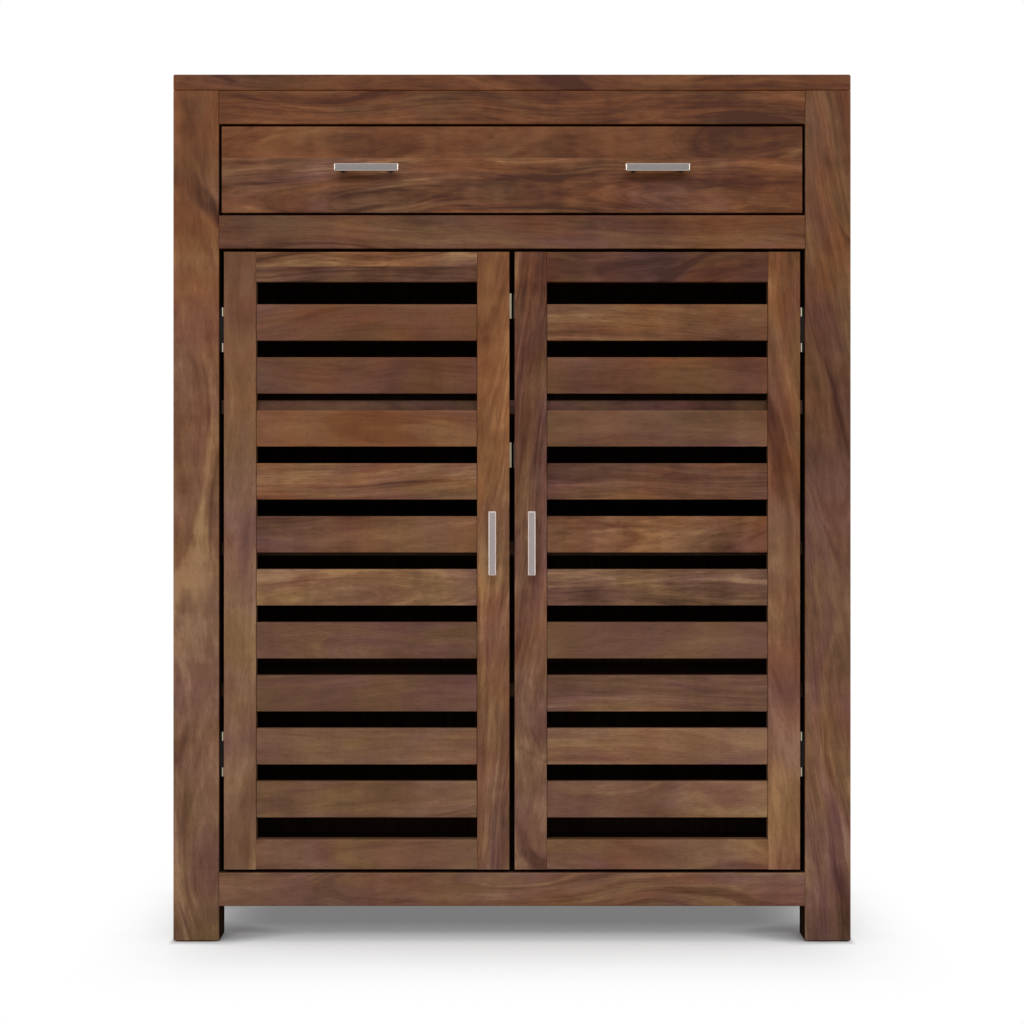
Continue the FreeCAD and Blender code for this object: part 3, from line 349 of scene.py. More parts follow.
@dataclass(frozen=True)
class Hardwood:
    """Figured hardwood. The pattern is read in the log that each board was sawn from.

    Attributes:
        name: the material's name.
        slot: the record's material slot.
        russet: colours of the reddish wood as they look, dark to light.
        olive: colours of the golden wood as they look, dark to light.
        plum: colours of the purplish wood as they look, dark to light.
        veil: light that the clear reflection adds, which the colours leave out.
        sheen: level of the clear reflection.
        roughness: blur of the reflection.
        contrast: strength of the figure.
    """

    name: str
    slot: str
    russet: tuple[Colour, ...]
    olive: tuple[Colour, ...]
    plum: tuple[Colour, ...]
    veil: float
    sheen: float
    roughness: float
    contrast: float

    def material(self) -> Material:
        """Builds the material.

        Returns:
            The finished material.
        """
        material, sheet, output = blank_material(self.name)
        grain = sheet.attribute("grain")
        light, warm, wild = sheet.parts(sheet.attribute("tone"))
        gold, figure, _ = sheet.parts(sheet.attribute("mood"))
        flow, calm = self.fibres(sheet, grain, wild)
        fibre = sheet.noise(grain, FIBRES, roughness=0.6)
        shade = self.shade(sheet, grain, (flow, calm), fibre)
        edge = sheet.add("ShaderNodeAttribute", attribute_name="edge").outputs["Fac"]
        strength = sheet.work("MULTIPLY", figure, self.contrast)
        shade = sheet.work("MULTIPLY_ADD", shade, strength, 0.5)
        # The roundings get a painted highlight.
        shade = sheet.work("MULTIPLY_ADD", edge, EDGE_HIGHLIGHT, sheet.work("ADD", shade, light))
        shade = sheet.work("ADD", shade, 0.0, clamp=True)

        ruddy = self.patches(sheet, flow, RUDDY, warm)
        golden = self.patches(sheet, flow, GOLDEN, gold)
        plum, russet = self.tones(sheet, shade, self.plum), self.tones(sheet, shade, self.russet)
        colour = sheet.blend(ruddy, plum, russet)
        colour = sheet.blend(golden, colour, self.tones(sheet, shade, self.olive))
        pits = sheet.share(sheet.noise(grain, PORES, detail=0.0), *PORE_PEAKS, 0.0, PORE_DEPTH)
        colour = sheet.blend(pits, colour, (*self.under(self.plum[0]), 1.0))
        # Painted shade: the wood is darkened towards the floor.
        floor_shade = sheet.share(sheet.parts(sheet.place())[2], 0.0, FLOOR_SHADE_HEIGHT, FLOOR_SHADE_SHARE)
        colour = sheet.blend(1.0, colour, sheet.vector(floor_shade, floor_shade, floor_shade), mode="MULTIPLY")

        relief = sheet.work("ADD", sheet.work("MULTIPLY", fibre, FIBRE_RELIEF),
                            sheet.work("MULTIPLY", pits, PORE_RELIEF))
        least = self.roughness - FIBRE_BLUR / 2
        rough = sheet.work("MULTIPLY_ADD", fibre, FIBRE_BLUR, least)
        surface = sheet.skin(output, colour, rough, relief, WOOD_BUMP)
        surface.inputs["Specular IOR Level"].default_value = self.sheen
        return material

    def fibres(self, sheet: ShaderSheet, grain: Socket, wild: Socket) -> tuple[Socket, Socket]:
        """Bends the fibres in three steps and lays the growth rings round the heart.

        Args:
            sheet: the material's sheet.
            grain: place in the log.
            wild: how far the growth lines wander.

        Returns:
            The place on the rings, and the same with the fibres bent less.
        """
        along, *start = sheet.parts(grain)
        section = start
        for scale, reach in ((BROAD_BEND, sheet.work("MULTIPLY", wild, BROAD_REACH)),
                             (WAVE, sheet.work("MULTIPLY", wild, WAVE_REACH)),
                             (RIPPLE, RIPPLE_REACH)):
            section = self.wander(sheet, grain, section, scale, reach)
        flow = self.rings(sheet, along, section)
        moved = (sheet.work("SUBTRACT", bent, straight) for bent, straight in zip(section, start))
        less = [sheet.work("MULTIPLY_ADD", move, CALM_SHARE, straight)
                for move, straight in zip(moved, start)]
        return flow, self.rings(sheet, along, less)

    def shade(self, sheet: ShaderSheet, grain: Socket, rings: Sequence[Socket],
              fibre: Socket) -> Socket:
        """Adds up the layers of the figure.

        Args:
            sheet: the material's sheet.
            grain: place in the log.
            rings: the place on the rings, and the same with the fibres bent less.
            fibre: the finest layer.

        Returns:
            Lighter above 0 and darker below.
        """
        layers = []
        for lines in LINES:
            noise = self.layer(sheet, rings[lines.calm], lines.scale, lines.level)
            if lines.peaks is None:
                layers.append(sheet.swing(noise, lines.amount))
            else:
                layers.append(sheet.share(noise, *lines.peaks, 0.0, lines.amount, smooth=True))
        clouds = sheet.noise(grain, CLOUDS, detail=3.0, roughness=0.55, distortion=0.8)
        mottle = sheet.noise(grain, MOTTLE, roughness=0.6)
        for noise, amount in ((clouds, CLOUD_SWING), (mottle, MOTTLE_SWING), (fibre, FIBRE_SWING)):
            layers.append(sheet.swing(noise, amount))
        total = layers[0]
        for layer in layers[1:]:
            total = sheet.work("ADD", total, layer)
        return total

    @staticmethod
    def wander(sheet: ShaderSheet, grain: Socket, section: Sequence[Socket],
               scale: Triple, reach: object) -> tuple[Socket, Socket]:
        """Bends the fibres, so that the growth lines swing about.

        Args:
            sheet: the material's sheet.
            grain: place in the log.
            section: across and through the log, as bent so far.
            scale: bends to the metre along, across and through.
            reach: how far the fibres are moved, in metres.

        Returns:
            Across and through the log, bent a little more.
        """
        noise = sheet.noise(grain, scale, detail=1.5, roughness=0.4)
        pull = sheet.parts(noise.node.outputs["Color"])
        across, depth = (sheet.work("MULTIPLY_ADD", sheet.work("SUBTRACT", side, 0.5), reach, place)
                         for side, place in zip(pull, section))
        return across, depth

    @staticmethod
    def rings(sheet: ShaderSheet, along: Socket, section: Sequence[Socket]) -> Socket:
        """Lays the growth rings round the heart.

        Args:
            sheet: the tree that it is written in.
            along: the place along the log.
            section: the place across the log, both ways from the heart.

        Returns:
            Along the log, out from its heart, and nothing.
        """
        squares = [sheet.work("MULTIPLY", part, part) for part in section]
        return sheet.vector(along, sheet.work("SQRT", sheet.work("ADD", *squares)), 0.0)

    @staticmethod
    def layer(sheet: ShaderSheet, flow: Socket, scale: Pair, level: float) -> Socket:
        """Adds lines that run with the fibres.

        Args:
            sheet: the material's sheet.
            flow: along the fibres and out from the heart.
            scale: lines to the metre along and out.
            level: keeps this layer apart from the others.

        Returns:
            The noise's socket.
        """
        scaled = sheet.vectors("MULTIPLY", flow, (*scale, 1.0))
        place = sheet.vectors("ADD", scaled, (0.0, 0.0, level))
        return sheet.noise(place, roughness=0.55)

    def patches(self, sheet: ShaderSheet, flow: Socket, patches: Patches, lean: Socket) -> Socket:
        """Gives how far one colour of wood goes over into another.

        Args:
            sheet: the material's sheet.
            flow: along the fibres and out from the heart.
            patches: the size and strength of the patches.
            lean: the board's own leaning.

        Returns:
            A share from 0 to 1.
        """
        swing = sheet.swing(self.layer(sheet, flow, patches.scale, patches.level), patches.amount)
        leaning = sheet.work("ADD", lean, patches.lean)
        return sheet.work("ADD", sheet.work("ADD", 0.5, swing), leaning, clamp=True)

    def under(self, colour: Colour) -> Colour:
        """Takes the clear reflection's share off a colour."""
        return tuple(max(0.002, channel - self.veil) for channel in colour)

    def tones(self, sheet: ShaderSheet, shade: Socket, colours: Sequence[Colour]) -> Socket:
        """Runs from dark to light wood, below the clear reflection."""
        return sheet.ramp(shade, [self.under(colour) for colour in colours])


@dataclass(frozen=True)
class Metal:
    """Metal with fine brush lines.

    Attributes:
        name: the material's name.
        slot: the record's material slot.
        colour: colour of the reflection.
        roughness: blur of the reflection.
        lines: brush lines to the metre along each axis.
        depth: how strongly the lines show.
    """

    name: str
    slot: str
    colour: Colour
    roughness: float
    lines: Triple = (900.0, 900.0, 900.0)
    depth: float = 0.12

    def material(self) -> Material:
        """Builds the material.

        Returns:
            The finished material.
        """
        material, sheet, output = blank_material(self.name)
        brush = sheet.noise(sheet.place(), self.lines, detail=3.0, roughness=0.65)
        smudge = sheet.noise(sheet.place(), SMUDGES)
        shade = sheet.work("MULTIPLY_ADD", brush, self.depth * 2, 1.0 - self.depth)
        grey = sheet.vector(shade, shade, shade)
        colour = sheet.blend(1.0, (*self.colour, 1.0), grey, mode="MULTIPLY")
        least = self.roughness - (BRUSH_BLUR + SMUDGE_BLUR) / 2
        rough = sheet.work("ADD", sheet.work("MULTIPLY_ADD", brush, BRUSH_BLUR, least),
                           sheet.work("MULTIPLY", smudge, SMUDGE_BLUR))
        surface = sheet.skin(output, colour, rough, brush, METAL_BUMP)
        surface.inputs["Metallic"].default_value = 1.0
        return material


@dataclass(frozen=True)
class Nylon:
    """Black moulded nylon with a fine matt skin.

    Attributes:
        name: the material's name.
        slot: the record's material slot.
        colour: colour of the plastic.
        roughness: least blur of the reflection.
    """

    name: str = "black_nylon"
    slot: str = "glide_plastic"
    colour: Colour = srgb(34, 33, 33)
    roughness: float = 0.42

    def material(self) -> Material:
        """Builds the material.

        Returns:
            The finished material.
        """
        material, sheet, output = blank_material(self.name)
        skin = sheet.noise(sheet.place(), NYLON_SKIN)
        scuff = sheet.noise(sheet.place(), SCUFFS, detail=3.0)
        worn = tuple(min(1.0, channel * WORN_NYLON) for channel in self.colour)
        share = sheet.work("MULTIPLY", scuff, 0.5)
        colour = sheet.blend(share, (*self.colour, 1.0), (*worn, 1.0))
        rough = sheet.work("MULTIPLY_ADD", scuff, NYLON_BLUR, self.roughness)
        sheet.skin(output, colour, rough, skin, NYLON_BUMP)
        return material


OILED = Hardwood(
    name="oiled_hardwood",
    slot="oiled_wood",
    russet=palette((76, 43, 27), (101, 61, 39), (121, 76, 49), (138, 91, 59), (164, 114, 74)),
    olive=palette((68, 47, 30), (91, 67, 45), (112, 84, 57), (136, 105, 71), (166, 132, 92)),
    plum=palette((66, 43, 38), (88, 59, 54), (106, 73, 68), (122, 87, 80), (142, 108, 97)),
    veil=0.0125,
    sheen=0.14,
    roughness=0.46,
    contrast=0.92,
)
# Painted shade: the wood inside the cabinet is painted dark where it lies in shade.
INNER_SHADE_WOOD = Hardwood(
    name="stained_inner_wood",
    slot="inner_wood",
    russet=palette((38, 24, 17), (50, 32, 23), (60, 39, 28), (70, 47, 34), (82, 57, 41)),
    olive=palette((38, 27, 19), (50, 35, 25), (60, 43, 30), (70, 51, 36), (82, 61, 44)),
    plum=palette((34, 23, 20), (46, 31, 27), (54, 37, 32), (62, 44, 38), (72, 52, 44)),
    veil=0.006,
    sheen=0.12,
    roughness=0.72,
    contrast=0.7,
)
# Painted shade on the posts' inward faces: the inner wood's dark colours without any sheen.
SHADOWED = replace(INNER_SHADE_WOOD, name="stained_matt_wood", veil=0.0, sheen=0.0, roughness=0.8)
ALONG_X, ALONG_Z = (40.0, 4000.0, 4000.0), (4000.0, 4000.0, 40.0)
HINGE_LINES = (1200.0, 1200.0, 300.0)
# The pulls are one nickel in lit and shaded copies: the upright pulls' face is painted lighter than
# the across pulls' face.
BRUSHED_ACROSS = Metal("nickel_brushed_across", "pull_metal", srgb(101, 97, 96), 0.42, ALONG_X)
BRUSHED_UPRIGHT = Metal("nickel_brushed_upright", "pull_metal", srgb(140, 131, 130), 0.42, ALONG_Z)
# Painted highlight: the bevels round the pulls' faces are the nickel painted much lighter.
BEVEL_HIGHLIGHT_ACROSS = Metal("nickel_bevel_across", "pull_metal", srgb(188, 175, 163), 0.25, depth=0.05)
BEVEL_HIGHLIGHT_UPRIGHT = Metal("nickel_bevel_upright", "pull_metal", srgb(248, 229, 220), 0.25, depth=0.05)
# Painted shade: the pulls' sides are the nickel painted darker.
PULL_SIDE_SHADE = Metal("nickel_side", "pull_metal", srgb(84, 78, 72), 0.45, depth=0.05)
WARM_NICKEL = Metal("satin_hinge_nickel", "hinge_metal", srgb(166, 153, 135), 0.36, HINGE_LINES)
PLATE_NICKEL = replace(WARM_NICKEL, name="satin_plate_nickel", colour=srgb(132, 121, 102))
# Painted shade: the hinges' nickel painted darker for the posts' leaves and the pins, where they
# lie in shade in the gaps.
HINGE_NICKEL_SHADE = Metal("dark_hinge_nickel", "hinge_metal", srgb(32, 28, 25), 0.60, HINGE_LINES)
# Painted shade: the right door's edge plates are the same nickel painted darker, where they lie in
# shade in the gap.
PLATE_NICKEL_SHADE = replace(HINGE_NICKEL_SHADE, name="dull_hinge_nickel", colour=srgb(66, 60, 54))
ZINC = Metal("zinc_plate", "screw_steel", srgb(150, 149, 145), 0.38)
NYLON = Nylon()

Finish = Hardwood | Metal | Nylon


class FinishShelf:
    """Builds each finish once and hands it out again."""

    def __init__(self) -> None:
        """Starts with nothing built."""
        self.built: dict[str, Material] = {}

    def take(self, finish: Finish) -> Material:
        """Gives the material of a finish, and builds it the first time.

        Args:
            finish: the finish that is wanted.

        Returns:
            Its material.
        """
        if finish.name not in self.built:
            self.built[finish.name] = finish.material()
        return self.built[finish.name]


FINISHES = FinishShelf()


# ---- boards -------------------------------------------------------------------------------------

class Grain(Enum):
    """How a board lies: the axes along its fibres, across its show face and through it."""

    ACROSS_FRONT = (0, 2, 1)
    UPRIGHT_FRONT = (2, 0, 1)
    ACROSS_FLAT = (0, 1, 2)
    DEEP_UPRIGHT = (1, 2, 0)
    UPRIGHT_SIDE = (2, 1, 0)


@dataclass(frozen=True)
class Cut:
    """How one board or stave came out of its log.

    Attributes:
        seed: which stretch of the log.
        light: lighter above 0 and darker below.
        warm: more reddish above 0 and more purplish below.
        wild: how far the growth lines wander, 1 for a plain board.
        heart: middle of the board to the heart of the log, across and through, in metres.
        lean: how much the heart moves across for each metre along.
        gold: more golden above 0.
        figure: strength of the figure.
        fade: how light, warm and gold change for each metre along.
    """

    seed: float
    light: float = 0.0
    warm: float = 0.0
    wild: float = 1.0
    heart: Pair = (0.02, 0.06)
    lean: float = 0.0
    gold: float = 0.0
    figure: float = 1.0
    fade: Triple = (0.0, 0.0, 0.0)


def in_log(offset: Triple, cut: Cut) -> Vector:
    """Finds where a point of a board was in its log.

    Args:
        offset: the point from the board's middle: along, across and through, in metres.
        cut: how the board was sawn.

    Returns:
        Along the log, and from its heart both ways, in metres.
    """
    along, across, through = offset
    aside = across - cut.heart[0] - cut.lean * along
    return Vector((along + LOG_STEP * cut.seed, aside, through - cut.heart[1]))


def mark_edges(mesh: Mesh) -> None:
    """Writes 1 on the corners of a rounding's faces, which get a painted highlight.

    Args:
        mesh: the mesh that is marked.
    """
    edge = mesh.attributes.new("edge", "FLOAT", "CORNER")
    for face in mesh.polygons:
        rounded = float(max(abs(part) for part in face.normal) < SQUARE_ON)
        for corner in face.loop_indices:
            edge.data[corner].value = rounded


def even_normals(piece: Piece) -> None:
    """Shades flat faces flat and roundings smooth, and settles the piece to plain mesh.

    Args:
        piece: a mesh object, which may carry other modifiers.
    """
    piece.data.shade_smooth()
    piece.data.set_sharp_from_angle(angle=SHARP)
    weighted = piece.modifiers.new("even_normals", "WEIGHTED_NORMAL")
    weighted.keep_sharp = True
    settle(piece)


def settle(piece: Piece) -> None:
    """Turns a piece's modifiers into plain mesh.

    Args:
        piece: the object to settle.
    """
    graph = bpy.context.evaluated_depsgraph_get()
    evaluated = piece.evaluated_get(graph)
    mesh = bpy.data.meshes.new_from_object(evaluated, preserve_all_data_layers=True,
                                           depsgraph=graph)
    piece.modifiers.clear()
    piece.data = mesh
    mesh.name = piece.name


def form_of(node: str) -> Form:
    """Opens a node's shape, with its doubled corners joined.

    Args:
        node: the node's name.

    Returns:
        The open shape.
    """
    form = bmesh.new()
    form.from_mesh(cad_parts[node].data)
    bmesh.ops.remove_doubles(form, verts=form.verts, dist=WELD)
    return form


def to_mesh(form: Form, name: str) -> Mesh:
    """Turns an open shape into a mesh.

    Args:
        form: the open shape, which is closed.
        name: the mesh's name.

    Returns:
        The mesh.
    """
    mesh = bpy.data.meshes.new(name)
    form.to_mesh(mesh)
    form.free()
    return mesh


def place_piece(name: str, mesh: Mesh) -> Piece:
    """Adds a mesh to the scene as an object at the origin.

    Args:
        name: the object's name.
        mesh: its mesh.

    Returns:
        The new object.
    """
    piece = bpy.data.objects.new(name, mesh)
    bpy.context.scene.collection.objects.link(piece)
    return piece


def hand_in(piece: Piece, body: str, nodes: Sequence[str]) -> Piece:
    """Ties a finished piece to its body and the nodes that it stands for.

    Args:
        piece: the finished piece.
        body: the body that carries it.
        nodes: the nodes that it replaces.

    Returns:
        The same piece.
    """
    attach(piece, body)
    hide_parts(*nodes)
    log.info("%s: %d faces on %s", piece.name, len(piece.data.polygons), body)
    return piece


@dataclass
class Board:
    """One board, or one glued up from staves, with the shape of its node.

    Attributes:
        node: the node that gives the shape.
        body: the body that carries it.
        grain: how the board lies.
        cuts: one cut for each stave, from the low side across.
        seams: where the staves meet, along the axis across the face, in metres.
        finish: the wood.
        lining: the wood of the faces that look to the middle of the cabinet, painted darker as
            shade, where they get one.
    """

    node: str
    body: str
    grain: Grain
    cuts: tuple[Cut, ...]
    seams: tuple[float, ...] = ()
    finish: Hardwood = OILED
    lining: Hardwood | None = None

    def build(self) -> Piece:
        """Builds the board from its node and dresses it.

        Returns:
            The finished board.
        """
        form = form_of(self.node)
        bmesh.ops.dissolve_limit(form, angle_limit=FLAT, verts=form.verts, edges=form.edges)
        self.glue_up(form)
        self.mark_grain(form)
        mesh = to_mesh(form, f"{self.node}_wood")
        mesh.materials.clear()
        mesh.materials.append(FINISHES.take(self.finish))
        if self.lining is not None:
            self.line(mesh)
        mark_edges(mesh)
        piece = place_piece(f"{self.node}_wood", mesh)
        even_normals(piece)
        return hand_in(piece, self.body, (self.node,))

    def glue_up(self, form: Form) -> None:
        """Cuts the surface along the seams, so that each stave has its own faces.

        Args:
            form: the board's surface.
        """
        normal = Vector((0.0, 0.0, 0.0))
        normal[self.grain.value[1]] = 1.0
        for seam in self.seams:
            everything = [*form.verts, *form.edges, *form.faces]
            bmesh.ops.bisect_plane(form, geom=everything, plane_co=normal * seam, plane_no=normal,
                                   dist=WELD / 2)

    def line(self, mesh: Mesh) -> None:
        """Gives the faces that look to the middle of the cabinet a darker wood as painted shade.

        Args:
            mesh: the board's mesh, with its first finish.
        """
        low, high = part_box(self.node)
        inwards = -math.copysign(1.0, low.x + high.x)
        mesh.materials.append(FINISHES.take(self.lining))
        for face in mesh.polygons:
            face.material_index = int(face.normal.x * inwards > LOOKS_THAT_WAY)

    def mark_grain(self, form: Form) -> None:
        """Writes on every corner where it was in its log, and the tone of its stave.

        Args:
            form: the board's surface.
        """
        low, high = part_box(self.node)
        middle = (low + high) / 2
        axes = self.grain.value
        grain = form.loops.layers.float_vector.new("grain")
        tone = form.loops.layers.float_vector.new("tone")
        mood = form.loops.layers.float_vector.new("mood")
        for face in form.faces:
            place = face.calc_center_median()[axes[1]]
            stave = sum(place > seam for seam in self.seams)
            cut = self.cuts[stave]
            for corner in face.loops:
                offset = corner.vert.co - middle
                corner[grain] = in_log(tuple(offset[axis] for axis in axes), cut)
                tones = zip((cut.light, cut.warm, cut.gold), cut.fade)
                light, warm, gold = (start + change * offset[axes[0]] for start, change in tones)
                corner[tone] = (light, warm, cut.wild)
                corner[mood] = (gold, cut.figure, 0.0)


def staves(seed: float, count: int, light: float = 0.0, warm: float = 0.0) -> tuple[Cut, ...]:
    """Makes the cuts of a wide glued board, each a little unlike the last.

    Args:
        seed: where the first stave starts.
        count: how many staves.
        light: how light the whole board is.
        warm: how warm the whole board is.

    Returns:
        One cut for each stave.
    """
    cuts = []
    for step in range(count):
        turn = math.sin(2.4 * (seed + 3.1 * step))
        cuts.append(Cut(
            seed=seed + 1.7 * step,
            light=light + 0.06 * turn,
            warm=warm + 0.14 * math.cos(5.3 * step),
            wild=1.0 + 0.4 * turn,
            heart=(0.03 * turn, 0.035 + 0.02 * turn),
            lean=0.03 * turn,
        ))
    return tuple(cuts)


def seams_between(low: float, high: float, count: int) -> tuple[float, ...]:
    """Spaces the seams of a board of equal staves.

    Args:
        low: one edge of the board.
        high: its other edge.
        count: how many staves.

    Returns:
        The seams' places, one fewer than the staves.
    """
    return tuple(low + (high - low) * step / count for step in range(1, count))


# ---- what repeats -------------------------------------------------------------------------------

class GeometrySheet(NodeSheet):
    """A geometry tree with named inputs."""

    def __init__(self, name: str, sockets: dict[str, str]) -> None:
        """Starts a tree.

        Args:
            name: the tree's name.
            sockets: the inputs after the geometry, name and socket type.
        """
        super().__init__(bpy.data.node_groups.new(name, "GeometryNodeTree"))
        face = self.tree.interface
        face.new_socket("Geometry", in_out="INPUT", socket_type="NodeSocketGeometry")
        face.new_socket("Geometry", in_out="OUTPUT", socket_type="NodeSocketGeometry")
        for label, kind in sockets.items():
            face.new_socket(label, in_out="INPUT", socket_type=kind)
        self.inputs = self.add("NodeGroupInput").outputs

    def named(self, name: str) -> Socket:
        """Reads a named vector."""
        return self.add("GeometryNodeInputNamedAttribute", {"Name": name},
                        data_type="FLOAT_VECTOR").outputs["Attribute"]

    def store(self, geometry: Socket, name: str, value: Socket) -> Socket:
        """Writes a named vector on the points."""
        inputs = {"Geometry": geometry, "Name": name, "Value": value}
        return self.result("GeometryNodeStoreNamedAttribute", inputs, data_type="FLOAT_VECTOR",
                           domain="POINT")

    def rectangle(self, width: Socket, height: Socket) -> Socket:
        """Draws a rectangle's outline."""
        inputs = {"Width": width, "Height": height}
        return self.result("GeometryNodeCurvePrimitiveQuadrilateral", inputs)

    def real(self, geometry: Socket) -> Socket:
        """Makes instances real."""
        return self.result("GeometryNodeRealizeInstances", {"Geometry": geometry})

    def finish(self, geometry: Socket) -> Tree:
        """Makes the instances real, sets the material and closes the tree.

        Args:
            geometry: the instances.

        Returns:
            The finished tree.
        """
        inputs = {"Geometry": self.real(geometry), "Material": self.inputs["Material"]}
        self.add("NodeGroupOutput", {"Geometry": self.result("GeometryNodeSetMaterial", inputs)})
        return self.tree


def run_tree(piece: Piece, tree: Tree, values: dict[str, object]) -> None:
    """Runs a geometry tree on a piece and leaves its result as plain mesh.

    Args:
        piece: the object that carries the tree's points.
        tree: the geometry tree.
        values: what goes into its inputs, by their names.
    """
    modifier = piece.modifiers.new(tree.name, "NODES")
    modifier.node_group = tree
    for item in tree.interface.items_tree:
        if item.in_out == "INPUT" and item.name in values:
            modifier[item.identifier] = values[item.name]
    settle(piece)


def points_mesh(name: str, places: Sequence[Triple], vectors: dict[str, Sequence[Triple]]) -> Mesh:
    """Makes a mesh of loose points that carry vectors.

    Args:
        name: the mesh's name.
        places: where the points are.
        vectors: one vector for each point, under each attribute's name.

    Returns:
        The mesh.
    """
    mesh = bpy.data.meshes.new(name)
    mesh.from_pydata(places, [], [])
    for label, values in vectors.items():
        attribute = mesh.attributes.new(label, "FLOAT_VECTOR", "POINT")
        attribute.data.foreach_set("vector", [number for value in values for number in value])
    return mesh


# How far a tenon starts inside the slat, in metres, and the facets of a slat's rounded edge.
TENON_ROOT, ARRIS_FACETS = 0.002, 3


@dataclass
class SlatLadder:
    """The ladder of flat slats in one door, with a stub tenon at either end of each.

    Attributes:
        name: name of the door that it belongs to.
        middle: middle of the ladder across the door.
        cuts: one cut for each slat, from the bottom up.
        face: front face of the slats.
        first: underside of the lowest slat.
        pitch: slat to slat.
        length: shoulder to shoulder, which leaves a hair of shadow at either stile.
        height: height of a slat.
        thick: thickness of a slat.
        arris: rounding of the long edges.
        tenon: length, height and thickness of a tenon.
    """

    name: str
    middle: float
    cuts: tuple[Cut, ...]
    face: float = -0.1867
    first: float = 0.1674
    pitch: float = 0.0715
    length: float = 0.2968
    height: float = 0.0491
    thick: float = 0.013
    arris: float = 0.0015
    tenon: Triple = (0.0107, 0.0371, 0.007)

    def build(self) -> Piece:
        """Builds the ladder.

        Returns:
            The finished slats.
        """
        y = self.face + self.thick / 2
        lowest = self.first + self.height / 2
        places = [(self.middle, y, lowest + step * self.pitch) for step in range(len(self.cuts))]
        vectors = {
            "tone": [(cut.light, cut.warm, cut.wild) for cut in self.cuts],
            "mood": [(cut.gold, cut.figure, 0.0) for cut in self.cuts],
            "fade": [cut.fade for cut in self.cuts],
            "heart": [(LOG_STEP * cut.seed, *cut.heart) for cut in self.cuts],
            "lean": [(cut.lean, 0.0, 0.0) for cut in self.cuts],
        }
        mesh = points_mesh(f"{self.name}_slats", places, vectors)
        piece = place_piece(f"{self.name}_slat_ladder", mesh)
        run_tree(piece, self.tree(), {
            "Length": self.length, "Height": self.height, "Thickness": self.thick,
            "Arris": self.arris, "Tenon Length": self.tenon[0], "Tenon Height": self.tenon[1],
            "Tenon Thickness": self.tenon[2], "Material": FINISHES.take(OILED),
        })
        for spare in ("centre", "heart", "lean", "fade"):
            piece.data.attributes.remove(piece.data.attributes[spare])
        mark_edges(piece.data)
        even_normals(piece)
        return hand_in(piece, self.name, (f"{self.name}_slats",))

    @staticmethod
    def tree() -> Tree:
        """Writes the tree: one slat and its tenons, set on every point, with its place in the log.

        Returns:
            The finished tree.
        """
        size = "NodeSocketFloat"
        sheet = GeometrySheet("slat_ladder", {
            "Length": size, "Height": size, "Thickness": size, "Arris": size, "Tenon Length": size,
            "Tenon Height": size, "Tenon Thickness": size, "Material": "NodeSocketMaterial",
        })
        taken = sheet.inputs
        half = sheet.work("MULTIPLY", taken["Length"], 0.5)
        square = sheet.rectangle(taken["Thickness"], taken["Height"])
        inputs = {"Curve": square, "Radius": taken["Arris"], "Count": ARRIS_FACETS}
        section = sheet.result("GeometryNodeFilletCurve", inputs, mode="POLY")
        body = SlatLadder.bar(sheet, section, sheet.work("MULTIPLY", half, -1.0), half)

        stub = sheet.rectangle(taken["Tenon Thickness"], taken["Tenon Height"])
        tip = sheet.work("ADD", half, taken["Tenon Length"])
        root = sheet.work("SUBTRACT", half, TENON_ROOT)
        right = SlatLadder.bar(sheet, stub, root, tip)
        far, near = (sheet.work("MULTIPLY", place, -1.0) for place in (tip, root))
        left = SlatLadder.bar(sheet, stub, far, near)
        joined = sheet.add("GeometryNodeJoinGeometry")
        for part in (body, right, left):
            sheet.tree.links.new(part, joined.inputs[0])

        position = sheet.result("GeometryNodeInputPosition")
        points = sheet.store(taken["Geometry"], "centre", position)
        inputs = {"Points": points, "Instance": joined.outputs[0]}
        real = sheet.real(sheet.result("GeometryNodeInstanceOnPoints", inputs))

        x, y, z = sheet.parts(sheet.vectors("SUBTRACT", position, sheet.named("centre")))
        seed, across, through = sheet.parts(sheet.named("heart"))
        lean = sheet.parts(sheet.named("lean"))[0]
        heart = sheet.work("ADD", across, sheet.work("MULTIPLY", lean, x))
        log_place = sheet.vector(sheet.work("ADD", x, seed), sheet.work("SUBTRACT", z, heart),
                                 sheet.work("SUBTRACT", y, through))
        real = sheet.store(real, "grain", log_place)
        changes = sheet.parts(sheet.named("fade"))
        lighter, warmer, golder = (sheet.work("MULTIPLY", change, x) for change in changes)
        tone = sheet.vectors("ADD", sheet.named("tone"), sheet.vector(lighter, warmer))
        mood = sheet.vectors("ADD", sheet.named("mood"), sheet.vector(golder))
        return sheet.finish(sheet.store(sheet.store(real, "tone", tone), "mood", mood))

    @staticmethod
    def bar(sheet: GeometrySheet, section: Socket, start: Socket, end: Socket) -> Socket:
        """Draws a section out along X between two places.

        Args:
            sheet: the tree it is written in.
            section: the closed outline.
            start: where it starts along X.
            end: where it ends along X.

        Returns:
            The closed bar.
        """
        inputs = {"Start": sheet.vector(start), "End": sheet.vector(end)}
        line = sheet.result("GeometryNodeCurvePrimitiveLine", inputs)
        upright = sheet.result("GeometryNodeSetCurveNormal", {"Curve": line}, mode="Z_UP")
        inputs = {"Curve": upright, "Profile Curve": section, "Fill Caps": True}
        return sheet.result("GeometryNodeCurveToMesh", inputs)


# ---- fasteners ----------------------------------------------------------------------------------

